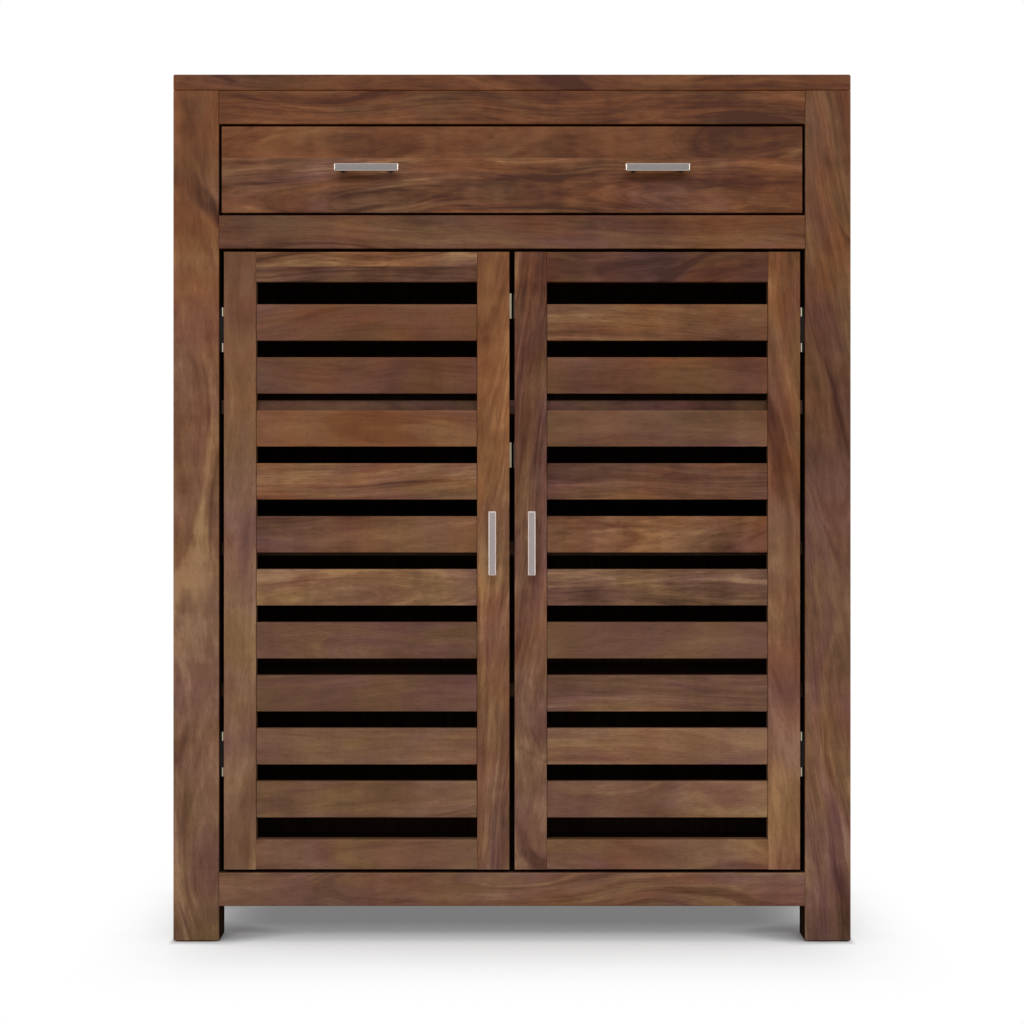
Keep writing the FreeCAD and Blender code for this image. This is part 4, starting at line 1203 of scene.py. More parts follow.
def turned(profile: Sequence[Pair], sides: int) -> Form:
    """Turns an outline about the X axis into a closed shape.

    Args:
        profile: places along X and their radii; the first and last radius is 0.
        sides: how many sides the round has.

    Returns:
        The closed shape.
    """
    form = bmesh.new()
    rings = []
    for x, radius in profile:
        if radius == 0.0:
            rings.append([form.verts.new((x, 0.0, 0.0))])
            continue
        angles = (2 * math.pi * step / sides for step in range(sides))
        rings.append([form.verts.new((x, radius * math.cos(angle), radius * math.sin(angle)))
                      for angle in angles])
    for first, second in zip(rings, rings[1:]):
        for step in range(sides):
            following = (step + 1) % sides
            corners = [first[step % len(first)], second[step % len(second)],
                       second[following % len(second)], first[following % len(first)]]
            form.faces.new(list(dict.fromkeys(corners)))
    bmesh.ops.recalc_face_normals(form, faces=form.faces)
    return form


# One turn of a thread: shares of the pitch and of the radius.
THREAD_FORM = ((0.1, 0.82), (0.5, 1.0), (0.9, 0.82))
SCREW_SIDES = 20
# Where the cutter of a recess starts, before the head, and how narrow it is at the recess's floor.
RECESS_START, RECESS_TAPER = -0.002, 0.45


@dataclass(frozen=True)
class CrossHeadScrew:
    """A screw or bolt that points along +X from its head's face, with a cross recess in the head.

    Attributes:
        name: the shape's name.
        profile: outline from the middle of the recess's floor to the tip.
        thread: start and end of the thread, in metres, and its radius.
        pitch: thread to thread.
        arm: half the width and half the length of an arm of the recess.
        floor: depth of the recess.
    """

    name: str
    profile: tuple[Pair, ...]
    thread: Triple
    pitch: float
    arm: Pair
    floor: float

    def template(self) -> Piece:
        """Builds the shape once, as an object that only lends its mesh.

        Returns:
            The shape.
        """
        start, end, radius = self.thread
        outline = [point for point in self.profile if point[0] <= start]
        steps = int((end - start) / self.pitch)
        for step in range(steps):
            x = start + step * self.pitch
            outline += [(x + share * self.pitch, height * radius) for share, height in THREAD_FORM]
        outline += [point for point in self.profile if point[0] > end]
        shape = place_piece(self.name, to_mesh(turned(outline, SCREW_SIDES), self.name))
        cutters = [self.cutter(turn) for turn in (0, 1)]
        for cutter in cutters:
            carve = shape.modifiers.new("recess", "BOOLEAN")
            carve.operation = "DIFFERENCE"
            carve.solver = "EXACT"
            carve.object = cutter
        settle(shape)
        for cutter in cutters:
            bpy.data.objects.remove(cutter)
        return shape

    def cutter(self, turn: int) -> Piece:
        """Makes one arm of the recess.

        Args:
            turn: 0 for the arm along Y and 1 for the arm along Z.

        Returns:
            A block that the arm is cut with.
        """
        wide, long = self.arm
        sides = (long, wide) if turn == 0 else (wide, long)
        form = bmesh.new()
        bmesh.ops.create_cube(form, size=2.0)
        for vertex in form.verts:
            x, y, z = vertex.co
            depth, taper = (self.floor, RECESS_TAPER) if x > 0 else (RECESS_START, 1.0)
            vertex.co = (depth, y * sides[0] * taper, z * sides[1] * taper)
        return place_piece(f"recess_arm_{turn}", to_mesh(form, "recess_arm"))


WOOD_SCREW = CrossHeadScrew(
    name="wood_screw",
    profile=((0.0, 0.0), (0.0, 0.0026), (0.0001, 0.0027), (0.0012, 0.0015), (0.0030, 0.00145),
             (0.0160, 0.0)),
    thread=(0.0030, 0.0148, 0.0015),
    pitch=0.0013,
    arm=(0.00028, 0.00140),
    floor=0.0010,
)
PULL_BOLT = CrossHeadScrew(
    name="pull_bolt",
    profile=((0.0, 0.0), (0.0, 0.0030), (0.0004, 0.0037), (0.0010, 0.0040), (0.0025, 0.0040),
             (0.0025, 0.0020), (0.0200, 0.0020), (0.0337, 0.0)),
    thread=(0.0200, 0.0335, 0.0020),
    pitch=0.0009,
    arm=(0.00040, 0.00220),
    floor=0.0015,
)


@dataclass
class Fasteners:
    """Screws or bolts of one kind on one body.

    Attributes:
        name: the piece's name.
        body: the body that carries them.
        kind: the screw or bolt.
        places: the middle of each head's face.
        facing: the way each one is driven.
        nodes: the nodes that they stand for.
        seed: seed of how far each was turned home.
    """

    name: str
    body: str
    kind: CrossHeadScrew
    places: Sequence[Triple]
    facing: Sequence[Triple]
    nodes: tuple[str, ...]
    seed: int = 3

    def build(self) -> Piece:
        """Builds the fasteners.

        Returns:
            The finished piece.
        """
        shape = self.kind.template()
        piece = place_piece(self.name, points_mesh(self.name, self.places, {"drive": self.facing}))
        values = {"Fastener": shape, "Seed": self.seed, "Material": FINISHES.take(ZINC)}
        run_tree(piece, self.tree(), values)
        bpy.data.objects.remove(shape)
        piece.data.attributes.remove(piece.data.attributes["drive"])
        even_normals(piece)
        return hand_in(piece, self.body, self.nodes)

    @staticmethod
    def tree() -> Tree:
        """Writes the tree: the shape on every point, driven its way and turned at random.

        Returns:
            The finished tree.
        """
        sheet = GeometrySheet("fastener_row", {
            "Fastener": "NodeSocketObject",
            "Seed": "NodeSocketInt",
            "Material": "NodeSocketMaterial",
        })
        taken = sheet.inputs
        lent = sheet.add("GeometryNodeObjectInfo", {"Object": taken["Fastener"]})
        inputs = {"Vector": sheet.named("drive")}
        aimed = sheet.result("FunctionNodeAlignRotationToVector", inputs, axis="X")
        spin = sheet.add("FunctionNodeRandomValue", {"Seed": taken["Seed"]}, data_type="FLOAT")
        spin.inputs[2].default_value = 0.0
        spin.inputs[3].default_value = math.pi / 2
        about = sheet.result("FunctionNodeEulerToRotation", {0: sheet.vector(spin.outputs[1])})
        inputs = {0: aimed, 1: about}
        home = sheet.result("FunctionNodeRotateRotation", inputs, rotation_space="LOCAL")
        shape = lent.outputs["Geometry"]
        inputs = {"Points": taken["Geometry"], "Instance": shape, "Rotation": home}
        return sheet.finish(sheet.result("GeometryNodeInstanceOnPoints", inputs))


# ---- metal fittings -----------------------------------------------------------------------------

# The foot of a pull's leg: places before the wood and shares of the leg's radius.
LEG_FOOT = ((-0.0022, 1.0), (-0.0012, 1.12), (-0.0004, 1.22), (0.0, 1.22))
LEG_SIDES = 32
# Rounding of a bar's edges in metres, and the least turn of an edge that gets it, in radians.
BAR_ARRIS, BAR_CORNER = 0.0002, 0.5
# Material slots of the bevel, with its painted highlight, and of the sides, with their painted
# shade, which lie less than SIDEWAYS along Y.
HIGHLIGHT_SLOT, SHADE_SLOT, SIDEWAYS = 1, 2, 0.2
FORWARDS = (0.0, -1.0, 0.0)


@dataclass
class BarPull:
    """A flat bar pull with a bevelled face on two round legs.

    Attributes:
        name: the node that it stands for.
        body: the body that carries it.
        centre: where its middle is across and up.
        upright: whether it stands along Z.
        length: length of the bar.
        width: width of the bar.
        thick: thickness of the bar.
        bevel: width of the bevel round its face.
        face: front face of the wood.
        reach: face of the wood to the face of the bar.
        leg: radius of a leg.
        spread: leg to leg.
        head: face of the heads of the bolts that hold it.
    """

    name: str
    body: str
    centre: Pair
    upright: bool
    length: float = 0.086
    width: float = 0.0104
    thick: float = 0.005
    bevel: float = 0.0016
    face: float = -0.1875
    reach: float = 0.025
    leg: float = 0.004
    spread: float = 0.064
    head: float = -0.1675

    def heads(self) -> list[Triple]:
        """Finds where the bolts' heads lie.

        Returns:
            The middle of each head's face.
        """
        x, z = self.centre
        ends = (-self.spread / 2, self.spread / 2)
        if self.upright:
            return [(x, self.head, z + end) for end in ends]
        return [(x + end, self.head, z) for end in ends]

    def build(self) -> Piece:
        """Builds the pull.

        Returns:
            The finished pull.
        """
        form = bmesh.new()
        self.add_bar(form)
        for hand in (-1, 1):
            self.add_leg(form, hand * self.spread / 2)
        for vertex in form.verts:
            along, out, up = vertex.co
            across, high = (up, along) if self.upright else (along, up)
            vertex.co = (self.centre[0] + across, self.face + out, self.centre[1] + high)
        bmesh.ops.recalc_face_normals(form, faces=form.faces)
        mesh = to_mesh(form, f"{self.name}_bar")
        # Face, bevel with its painted highlight, and sides with their painted shade.
        faces = (BRUSHED_UPRIGHT, BEVEL_HIGHLIGHT_UPRIGHT) if self.upright else (BRUSHED_ACROSS, BEVEL_HIGHLIGHT_ACROSS)
        for finish in (*faces, PULL_SIDE_SHADE):
            mesh.materials.append(FINISHES.take(finish))
        piece = place_piece(f"{self.name}_bar", mesh)
        even_normals(piece)
        return hand_in(piece, self.body, (self.name,))

    def add_bar(self, form: Form) -> None:
        """Adds the bar, drawn along X with its face towards -Y.

        Args:
            form: the mesh that is being made.
        """
        sizes = (self.length, self.thick, self.width)
        block = bmesh.ops.create_cube(form, size=1.0)["verts"]
        for vertex in block:
            vertex.co = Vector(side * size for side, size in zip(vertex.co, sizes))
            vertex.co.y += self.thick / 2 - self.reach
        front = [edge for edge in form.edges
                 if all(vertex.co.y < -self.reach + WELD for vertex in edge.verts)]
        sloped = bmesh.ops.bevel(form, geom=front, offset=self.bevel, segments=1, affect="EDGES",
                                 profile=0.5)
        # The sides get painted shade and the bevel a painted highlight.
        for face in form.faces:
            if abs(face.normal.y) < SIDEWAYS:
                face.material_index = SHADE_SLOT
        for face in sloped["faces"]:
            if abs(face.normal.y) > SIDEWAYS:
                face.material_index = HIGHLIGHT_SLOT
        sharp = [edge for edge in form.edges if edge.calc_face_angle(0.0) > BAR_CORNER]
        bmesh.ops.bevel(form, geom=sharp, offset=BAR_ARRIS, segments=2, affect="EDGES", profile=0.5)

    def add_leg(self, form: Form, place: float) -> None:
        """Adds a round leg from inside the bar to the wood, with a small foot.

        Args:
            form: the mesh that is being made.
            place: where it stands along the bar.
        """
        top = self.thick / 2 - self.reach
        foot = [(x, self.leg * swell) for x, swell in LEG_FOOT]
        leg = turned([(top, 0.0), (top, self.leg), *foot, (0.0, 0.0)], LEG_SIDES)
        for vertex in leg.verts:
            x, y, z = vertex.co
            vertex.co = (place + y, x, z)
        spare = to_mesh(leg, "leg")
        form.from_mesh(spare)
        bpy.data.meshes.remove(spare)


def dress_node(node: str, finish: Finish) -> None:
    """Gives a node that keeps its own shape its finish.

    Args:
        node: the node's name.
        finish: the finish that it gets.
    """
    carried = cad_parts[node]
    for slot in carried.material_slots:
        slot.material = FINISHES.take(finish)
    log.info("%s: keeps its shape, %s", node, finish.name)


def fit_pulls(pulls: Sequence[BarPull], bolts: str, node: str) -> None:
    """Builds the pulls of one body and the bolts that hold them.

    Args:
        pulls: the pulls.
        bolts: the bolts' name.
        node: the bolts' node.
    """
    for pull in pulls:
        pull.build()
    heads = [head for pull in pulls for head in pull.heads()]
    Fasteners(bolts, pulls[0].body, PULL_BOLT, heads, [FORWARDS] * len(heads), (node,)).build()


def screw_heads(node: str) -> tuple[list[Triple], list[Triple]]:
    """Finds where the screws of a node have their heads.

    Args:
        node: a node of screws that lie along X.

    Returns:
        The middle of each head's face, and the way each screw is driven.
    """
    form = form_of(node)
    left = set(form.verts)
    places, ways = [], []
    while left:
        stack, island = [left.pop()], []
        while stack:
            vertex = stack.pop()
            island.append(vertex.co.copy())
            for edge in vertex.link_edges:
                other = edge.other_vert(vertex)
                if other in left:
                    left.remove(other)
                    stack.append(other)
        low = Vector(min(point[axis] for point in island) for axis in range(3))
        high = Vector(max(point[axis] for point in island) for axis in range(3))
        middle = (low + high) / 2
        widest = max(island, key=lambda point: (point - middle).yz.length)
        way = 1.0 if widest.x < middle.x else -1.0
        places.append((low.x if way > 0 else high.x, middle.y, middle.z))
        ways.append((way, 0.0, 0.0))
    form.free()
    order = sorted(range(len(places)), key=lambda step: (places[step][0], places[step][2]))
    return [places[step] for step in order], [ways[step] for step in order]


def drive_screws(name: str, body: str, node: str, seed: int = 3) -> None:
    """Builds the screws of a node.

    Args:
        name: the piece's name.
        body: the body that carries them.
        node: the screws' node.
        seed: seed of how far each was turned home.
    """
    places, ways = screw_heads(node)
    Fasteners(name, body, WOOD_SCREW, places, ways, (node,), seed).build()


# ---- sub-assemblies -----------------------------------------------------------------------------

def stained_boards(nodes: Sequence[str], body: str, grain: Grain, seed: int) -> None:
    """Builds plain boards of the inner wood, darkened as painted shade, each from a stretch of log
    of its own.

    Args:
        nodes: the boards' nodes.
        body: the body that carries them.
        grain: how they lie.
        seed: stretch of the first one.
    """
    for stretch, node in enumerate(nodes, seed):
        Board(node, body, grain, (Cut(stretch),), finish=INNER_SHADE_WOOD).build()


class Hand(Enum):
    """One side or the other."""

    LEFT = -1
    RIGHT = 1

    @property
    def label(self) -> str:
        """The side's name, as it stands in the nodes' names."""
        return self.name.lower()


TOP_EDGE = Cut(16.905, -0.24, 0.62, 1.22, (-0.0693, 0.0638), -0.022, -0.4, 1.07, (0.0, -0.1, -0.2))
POSTS = {
    "front_left_post":
        Cut(82.905, 0.12, 0.02, 0.99, (0.0046, 0.0976), -0.039, 0.02, 1.2, (-0.2, 1.0, -0.5)),
    "front_right_post":
        Cut(8.795, -0.01, -0.1, 1.02, (-0.0046, 0.0221), -0.133, 0.01, 1.06, (-0.2, 0.9, 0.0)),
    "rear_left_post":
        Cut(3.0, 0.0, 0.0, 1.2, (0.04, 0.10), 0.05),
    "rear_right_post":
        Cut(4.0, -0.03, 0.05, 1.0, (-0.05, 0.08), -0.04),
}
RAILS = {
    "front_top_rail":
        Cut(6.207, -0.24, 1.11, 1.3, (-0.0623, 0.0668), -0.003, -0.28, 1.24, (-0.1, 0.0, 0.4)),
    "front_middle_rail":
        Cut(66.895, -0.1, 0.16, 1.01, (0.0603, 0.08), -0.052, -0.01, 0.83, (0.2, 0.5, -0.2)),
    "front_bottom_rail":
        Cut(57.803, 0.17, -0.13, 1.76, (0.01, 0.0246), 0.056, 0.03, 0.86, (0.2, 0.0, -0.3)),
    "rear_top_rail":
        Cut(8.0, -0.03, 0.0, 1.1, (0.02, 0.07), 0.02),
    "rear_bottom_rail":
        Cut(9.0, 0.0, -0.1, 1.1, (0.02, 0.07), -0.02),
}


@dataclass
class Carcass:
    """The fixed case: posts, rails, panels, top, shelves and the boards inside.

    Attributes:
        front: front face of the posts.
        back: back face of the posts.
        inset: face of the posts to the seamed part of a side panel.
        back_edge: middle to the side edges of the back panel.
        shelf: front and back edges of the shelves.
        top_staves: staves in the top board.
        back_staves: staves in the back panel.
        shelf_staves: staves in a shelf.
        side_staves: staves in a side panel.
        body: the body that carries it.
        front_stave: cut of the stave at the front edge of the top.
        posts: cut of each post.
        rails: cut of each rail across the front and the back.
    """

    front: float = -0.1875
    back: float = 0.2125
    inset: float = 0.055
    back_edge: float = 0.402
    shelf: Pair = (-0.167, 0.1905)
    top_staves: int = 4
    back_staves: int = 6
    shelf_staves: int = 3
    side_staves: int = 3
    body: str = "cabinet"
    front_stave: Cut = TOP_EDGE
    posts: dict[str, Cut] = field(default_factory=POSTS.copy)
    rails: dict[str, Cut] = field(default_factory=RAILS.copy)

    def build(self) -> None:
        """Builds every board of the case."""
        for node, cut in self.posts.items():
            # The posts' inward faces get painted shade.
            Board(node, self.body, Grain.UPRIGHT_FRONT, (cut,), lining=SHADOWED).build()
        for node, cut in self.rails.items():
            Board(node, self.body, Grain.ACROSS_FRONT, (cut,)).build()
        self.build_sides()
        self.build_top()
        self.build_inside()
        dress_node("floor_glides", NYLON)

    def build_sides(self) -> None:
        """Builds the side rails, the side panels and the back panel."""
        for seed, side in enumerate(("left", "right"), 10):
            for step, level in enumerate(("top", "bottom")):
                light, warm = 0.02 * step, 0.05 - 0.1 * step
                cut = Cut(seed + 0.4 * step, light, warm, 1.1, (0.03, 0.05), 0.03)
                Board(f"{side}_{level}_rail", self.body, Grain.DEEP_UPRIGHT, (cut,)).build()
            seams = seams_between(self.front + self.inset, self.back - self.inset, self.side_staves)
            cuts = staves(seed, self.side_staves, 0.0, 0.05)
            Board(f"{side}_side_panel", self.body, Grain.UPRIGHT_SIDE, cuts, seams).build()
        # The back panel is the inner wood, darkened as painted shade.
        seams = seams_between(-self.back_edge, self.back_edge, self.back_staves)
        cuts = staves(14, self.back_staves)
        Board("back_panel", self.body, Grain.UPRIGHT_FRONT, cuts, seams, INNER_SHADE_WOOD).build()

    def build_top(self) -> None:
        """Builds the top board from staves along its length."""
        seams = seams_between(self.front, self.back, self.top_staves)
        cuts = (self.front_stave, *staves(17, self.top_staves - 1, -0.05, -0.05))
        Board("top_board", self.body, Grain.ACROSS_FLAT, cuts, seams).build()

    def build_inside(self) -> None:
        """Builds the shelves, the bottom board and what carries them and the drawer."""
        seams = seams_between(*self.shelf, self.shelf_staves)
        cuts = staves(20, self.shelf_staves, -0.02, -0.6)
        Board("upper_shelf", self.body, Grain.ACROSS_FLAT, cuts, seams).build()
        # The other shelves, the bottom board and the battens are the inner wood, darkened as
        # painted shade.
        for seed, node in enumerate(("middle_shelf", "lower_shelf", "bottom_board"), 21):
            cuts = staves(seed, self.shelf_staves)
            Board(node, self.body, Grain.ACROSS_FLAT, cuts, seams, INNER_SHADE_WOOD).build()
        battens = ("left_shelf_cleats", "right_shelf_cleats", "left_drawer_runner",
                   "right_drawer_runner", "drawer_kickers", "drawer_stops")
        stained_boards(battens, self.body, Grain.DEEP_UPRIGHT, 25)


@dataclass
class Drawer:
    """The drawer: a two-stave front, its box, two pulls and their bolts.

    Attributes:
        seam: where the two staves of the front meet.
        bottom: front and back edges of the bottom.
        bottom_staves: staves in the bottom.
        pull_x: middle of the drawer to the middle of a pull.
        pull_z: height of the pulls.
        body: the body that carries it.
        front: cuts of the lower and the upper stave of the front.
    """

    seam: float = 1.0572
    bottom: Pair = (-0.1715, 0.1625)
    bottom_staves: int = 3
    pull_x: float = 0.1954
    pull_z: float = 1.0422
    body: str = "drawer"
    front: tuple[Cut, Cut] = (
        Cut(80.381, -0.12, 0.38, 1.58, (-0.0288, 0.0292), 0.004, -0.16, 1.46, (0.0, 0.4, -0.1)),
        Cut(113.098, -0.2, 0.8, 1.33, (0.0329, 0.0675), 0.038, -0.21, 1.18, (-0.5, -0.1, 0.8)),
    )

    def build(self) -> None:
        """Builds the front, the box, the pulls and the bolts."""
        Board("drawer_front", self.body, Grain.ACROSS_FRONT, self.front, (self.seam,)).build()
        # The drawer's box is the inner wood, darkened as painted shade.
        stained_boards(("drawer_left_side", "drawer_right_side"), self.body, Grain.DEEP_UPRIGHT, 33)
        stained_boards(("drawer_back",), self.body, Grain.ACROSS_FRONT, 35)
        seams = seams_between(*self.bottom, self.bottom_staves)
        cuts = staves(36, self.bottom_staves)
        Board("drawer_bottom", self.body, Grain.ACROSS_FLAT, cuts, seams, INNER_SHADE_WOOD).build()
        pulls = []
        for hand in Hand:
            centre = (hand.value * self.pull_x, self.pull_z)
            pulls.append(BarPull(f"drawer_{hand.label}_pull", self.body, centre, False))
        fit_pulls(pulls, "drawer_bolts", "drawer_pull_bolts")


@dataclass
class Door:
    """One door: stiles, rails, the ladder of slats, its pull and the metal on its edges.

    Attributes:
        hand: the side it hangs on.
        stile_cuts: hinge stile, then meeting stile.
        rail_cuts: top rail from the low stave up, then the bottom rail.
        slat_cuts: one for each slat, from the bottom up.
        rail_seams: where the staves of the top rail meet.
        middle: middle of the cabinet to the middle of the ladder.
        pull_x: middle of the cabinet to the pull.
        pull_z: middle of the pull.
    """

    hand: Hand
    stile_cuts: tuple[Cut, Cut]
    rail_cuts: tuple[Cut, ...]
    slat_cuts: tuple[Cut, ...]
    rail_seams: tuple[float, ...] = ()
    middle: float = 0.1961
    pull_x: float = 0.0264
    pull_z: float = 0.538

    @property
    def body(self) -> str:
        """The name of the body, which every node of the door starts with."""
        return f"{self.hand.label}_door"

    def build(self) -> None:
        """Builds the whole door."""
        for stile, cut in zip(("hinge_stile", "meeting_stile"), self.stile_cuts):
            Board(f"{self.body}_{stile}", self.body, Grain.UPRIGHT_FRONT, (cut,)).build()
        rail, cuts = f"{self.body}_top_rail", self.rail_cuts
        Board(rail, self.body, Grain.ACROSS_FRONT, cuts[:-1], self.rail_seams).build()
        Board(f"{self.body}_bottom_rail", self.body, Grain.ACROSS_FRONT, cuts[-1:]).build()
        SlatLadder(self.body, self.hand.value * self.middle, self.slat_cuts).build()
        self.build_metal()

    def build_metal(self) -> None:
        """Builds the pull, its bolts and the screws, and dresses the plates and hinge leaves."""
        centre = (self.hand.value * self.pull_x, self.pull_z)
        fit_pulls([BarPull(f"{self.body}_pull", self.body, centre, True)], f"{self.body}_bolts",
                  f"{self.body}_pull_bolts")
        # The right door's plates get nickel with painted shade.
        plates = PLATE_NICKEL if self.hand is Hand.LEFT else PLATE_NICKEL_SHADE
        dress_node(f"{self.body}_edge_plates", plates)
        dress_node(f"{self.hand.label}_hinge_door_leaves", WARM_NICKEL)
        drive_screws(f"{self.body}_cross_screws", self.body, f"{self.body}_screws")


@dataclass
class PostHinges:
    """What the carcass carries of the hinges: the posts' leaves, the pins and the screws.

    Attributes:
        body: the body that carries them.
    """

    body: str = "cabinet"

    def build(self) -> None:
        """Dresses the leaves and pins and builds the screws."""
        # The posts' leaves and the pins get nickel with painted shade.
        for node in ("left_hinge_post_leaves", "right_hinge_post_leaves", "hinge_pins"):
            dress_node(node, HINGE_NICKEL_SHADE)
        drive_screws("post_cross_screws", self.body, "hinge_post_screws", 5)


# ---- studio -------------------------------------------------------------------------------------

@dataclass(frozen=True)
class Lamp:
    """A large soft lamp that points at the object.

    Attributes:
        name: the lamp's name.
        place: where it hangs.
        size: its width and height.
        power: its power in watts.
        target: what it points at.
    """

    name: str
    place: Triple
    size: Pair
    power: float
    target: Triple = (0.0, 0.0, 0.6)

    def hang(self) -> None:
        """Hangs the lamp."""
        lamp = bpy.data.lights.new(self.name, "AREA")
        lamp.shape = "RECTANGLE"
        lamp.size, lamp.size_y = self.size
        lamp.energy = self.power
        hung = bpy.data.objects.new(self.name, lamp)
        hung.location = self.place
        aim = Vector(self.target) - Vector(self.place)
        hung.rotation_euler = aim.to_track_quat("-Z", "Y").to_euler()
        bpy.context.scene.collection.objects.link(hung)


LAMPS = (
    Lamp("key_lamp", (0.0, -6.0, 3.9), (6.0, 1.8), 274.0),
    Lamp("left_lamp", (-3.4, 0.4, 2.4), (2.4, 2.0), 68.0),
    Lamp("right_lamp", (3.4, 0.4, 2.4), (2.4, 2.0), 68.0),
    Lamp("back_lamp", (0.0, 3.4, 2.4), (2.4, 2.0), 68.0),
)
WHITE = (1.0, 1.0, 1.0, 1.0)
SENSOR = 36.0
FLOOR_RADIUS, FLOOR_SIDES = 9.0, 96
# Stretches of the floor, in metres outside the object: to its sides, and before and behind it.
ASIDE_RIM, BEFORE_RIM = (-0.005, 0.005), (-0.02, 0.02)
ASIDE_REACH, BEFORE_REACH = (-0.1, 0.12), (-0.1417, 0.4)
FADE_ASIDE = (0.0, 0.03, 0.1, 0.2, 0.34, 0.5, 0.59, 0.71, 0.81, 0.89, 0.95, 1.0)
FADE_BEFORE = (0.19, 0.235, 0.168, 0.315, 0.465, 0.545, 0.615, 0.715, 0.81, 0.86, 0.945, 0.97,
               0.985, 1.0)
# The slants and the stretches that go from full shadow to none beside, before and behind a leg.
FRONT_SLANT, REAR_SLANT = 1.05, -1.2
LEG_ASIDE, LEG_BEFORE = (0.0, 0.006), (0.006, 0.022)
FRONT_LEG, REAR_LEG = (-0.015, 0.045), (0.085, 0.185)


@dataclass
class Studio:
    """A pale floor, soft light from every side and the camera.

    Attributes:
        ambient: strength of the sky on the object.
        floor_grey: grey of the floor.
        stand: half the width and depth that the object stands on.
        middle: how far back the middle of that depth lies.
        leg: width of a leg.
        fade_before: how far the floor has gone to white, along BEFORE_REACH.
        fade_aside: the same along ASIDE_REACH.
        eye: place of the camera.
        lens: focal length in millimetres.
        shift: how far the frame is moved down, as a share of its width.
    """

    ambient: float = 0.15
    floor_grey: float = 0.80
    stand: Pair = (0.457, 0.2)
    middle: float = 0.0125
    leg: float = 0.062
    fade_before: tuple[float, ...] = FADE_BEFORE
    fade_aside: tuple[float, ...] = FADE_ASIDE
    eye: Triple = (0.0, -3.4515, 0.636)
    lens: float = 85.085
    shift: float = -0.0408

    def build(self) -> None:
        """Builds the floor, the sky, the lamps and the camera."""
        scene = bpy.context.scene
        scene.view_settings.view_transform = "Standard"
        self.build_floor()
        self.build_sky(scene)
        for lamp in LAMPS:
            lamp.hang()
        camera = bpy.data.cameras.new("camera")
        camera.lens = self.lens
        camera.sensor_width = SENSOR
        camera.shift_y = self.shift
        stand = bpy.data.objects.new("camera", camera)
        stand.location = self.eye
        stand.rotation_euler = (math.pi / 2, 0.0, 0.0)
        scene.collection.objects.link(stand)
        scene.camera = stand

    def build_floor(self) -> None:
        """Lays a round floor that fades to plain white away from the object."""
        form = bmesh.new()
        bmesh.ops.create_circle(form, cap_ends=True, segments=FLOOR_SIDES, radius=FLOOR_RADIUS)
        mesh = to_mesh(form, "floor")
        material, sheet, output = blank_material("pale_floor")
        matt = sheet.result("ShaderNodeBsdfDiffuse", {"Color": (*[self.floor_grey] * 3, 1.0)})
        white = sheet.result("ShaderNodeEmission", {"Color": WHITE, "Strength": 1.0})
        share = sheet.work("MULTIPLY", self.fade(sheet), self.seen(sheet))
        mixed = sheet.result("ShaderNodeMixShader", {0: share, 1: matt, 2: white})
        sheet.tree.links.new(mixed, output.inputs["Surface"])
        mesh.materials.append(material)
        place_piece("floor", mesh)

    def fade(self, sheet: ShaderSheet) -> Socket:
        """Gives how far each place of the floor has gone to white.

        Args:
            sheet: the floor's sheet.

        Returns:
            0 for the lit floor to 1 for plain white.
        """
        x, y, _ = sheet.parts(sheet.place())
        from_middle = sheet.work("ABSOLUTE", sheet.work("SUBTRACT", y, self.middle))
        aside = sheet.work("SUBTRACT", sheet.work("ABSOLUTE", x), self.stand[0])
        before = sheet.work("SUBTRACT", from_middle, self.stand[1])
        outside = sheet.work("MAXIMUM", sheet.share(aside, *ASIDE_RIM),
                             sheet.share(before, *BEFORE_RIM))
        sideways = self.greys(sheet, sheet.share(aside, *ASIDE_REACH), self.fade_aside)
        forwards = self.greys(sheet, sheet.share(before, *BEFORE_REACH), self.fade_before)
        kept = sheet.work("SUBTRACT", 1.0, sheet.work("MULTIPLY", sideways, outside))
        kept = sheet.work("MULTIPLY", kept, sheet.work("SUBTRACT", 1.0, forwards))
        fade = sheet.work("SUBTRACT", 1.0, kept)
        return sheet.work("MULTIPLY", fade, self.clear_of_legs(sheet, aside, before))

    @staticmethod
    def greys(sheet: ShaderSheet, factor: Socket, levels: Sequence[float]) -> Socket:
        """Runs through evenly spaced greys."""
        return sheet.ramp(factor, [(level, level, level) for level in levels])

    def clear_of_legs(self, sheet: ShaderSheet, aside: Socket, before: Socket) -> Socket:
        """Keeps the full shadow where the legs touch the floor and beside them, under the carcass.

        Args:
            sheet: the floor's sheet.
            aside: how far a place is outside the sides.
            before: how far it is outside the front and the back.

        Returns:
            0 for the full shadow to 1 for the fade alone.
        """
        inside = sheet.work("SUBTRACT", -self.leg, aside)
        from_front = sheet.work("MULTIPLY_ADD", before, FRONT_SLANT, inside)
        from_rear = sheet.work("MULTIPLY_ADD", before, REAR_SLANT, inside)
        clear = sheet.share(aside, *LEG_ASIDE)
        steps = ((from_front, FRONT_LEG), (from_rear, REAR_LEG), (before, LEG_BEFORE))
        for place, stretch in steps:
            clear = sheet.work("MAXIMUM", clear, sheet.share(place, *stretch))
        return clear

    @staticmethod
    def seen(sheet: ShaderSheet) -> Socket:
        """Gives 1 for what the camera sees, straight or reflected, and 0 for what only lights."""
        path = sheet.add("ShaderNodeLightPath").outputs
        mirrored = sheet.work("MAXIMUM", path["Is Glossy Ray"], path["Is Transmission Ray"])
        return sheet.work("MAXIMUM", path["Is Camera Ray"], mirrored)

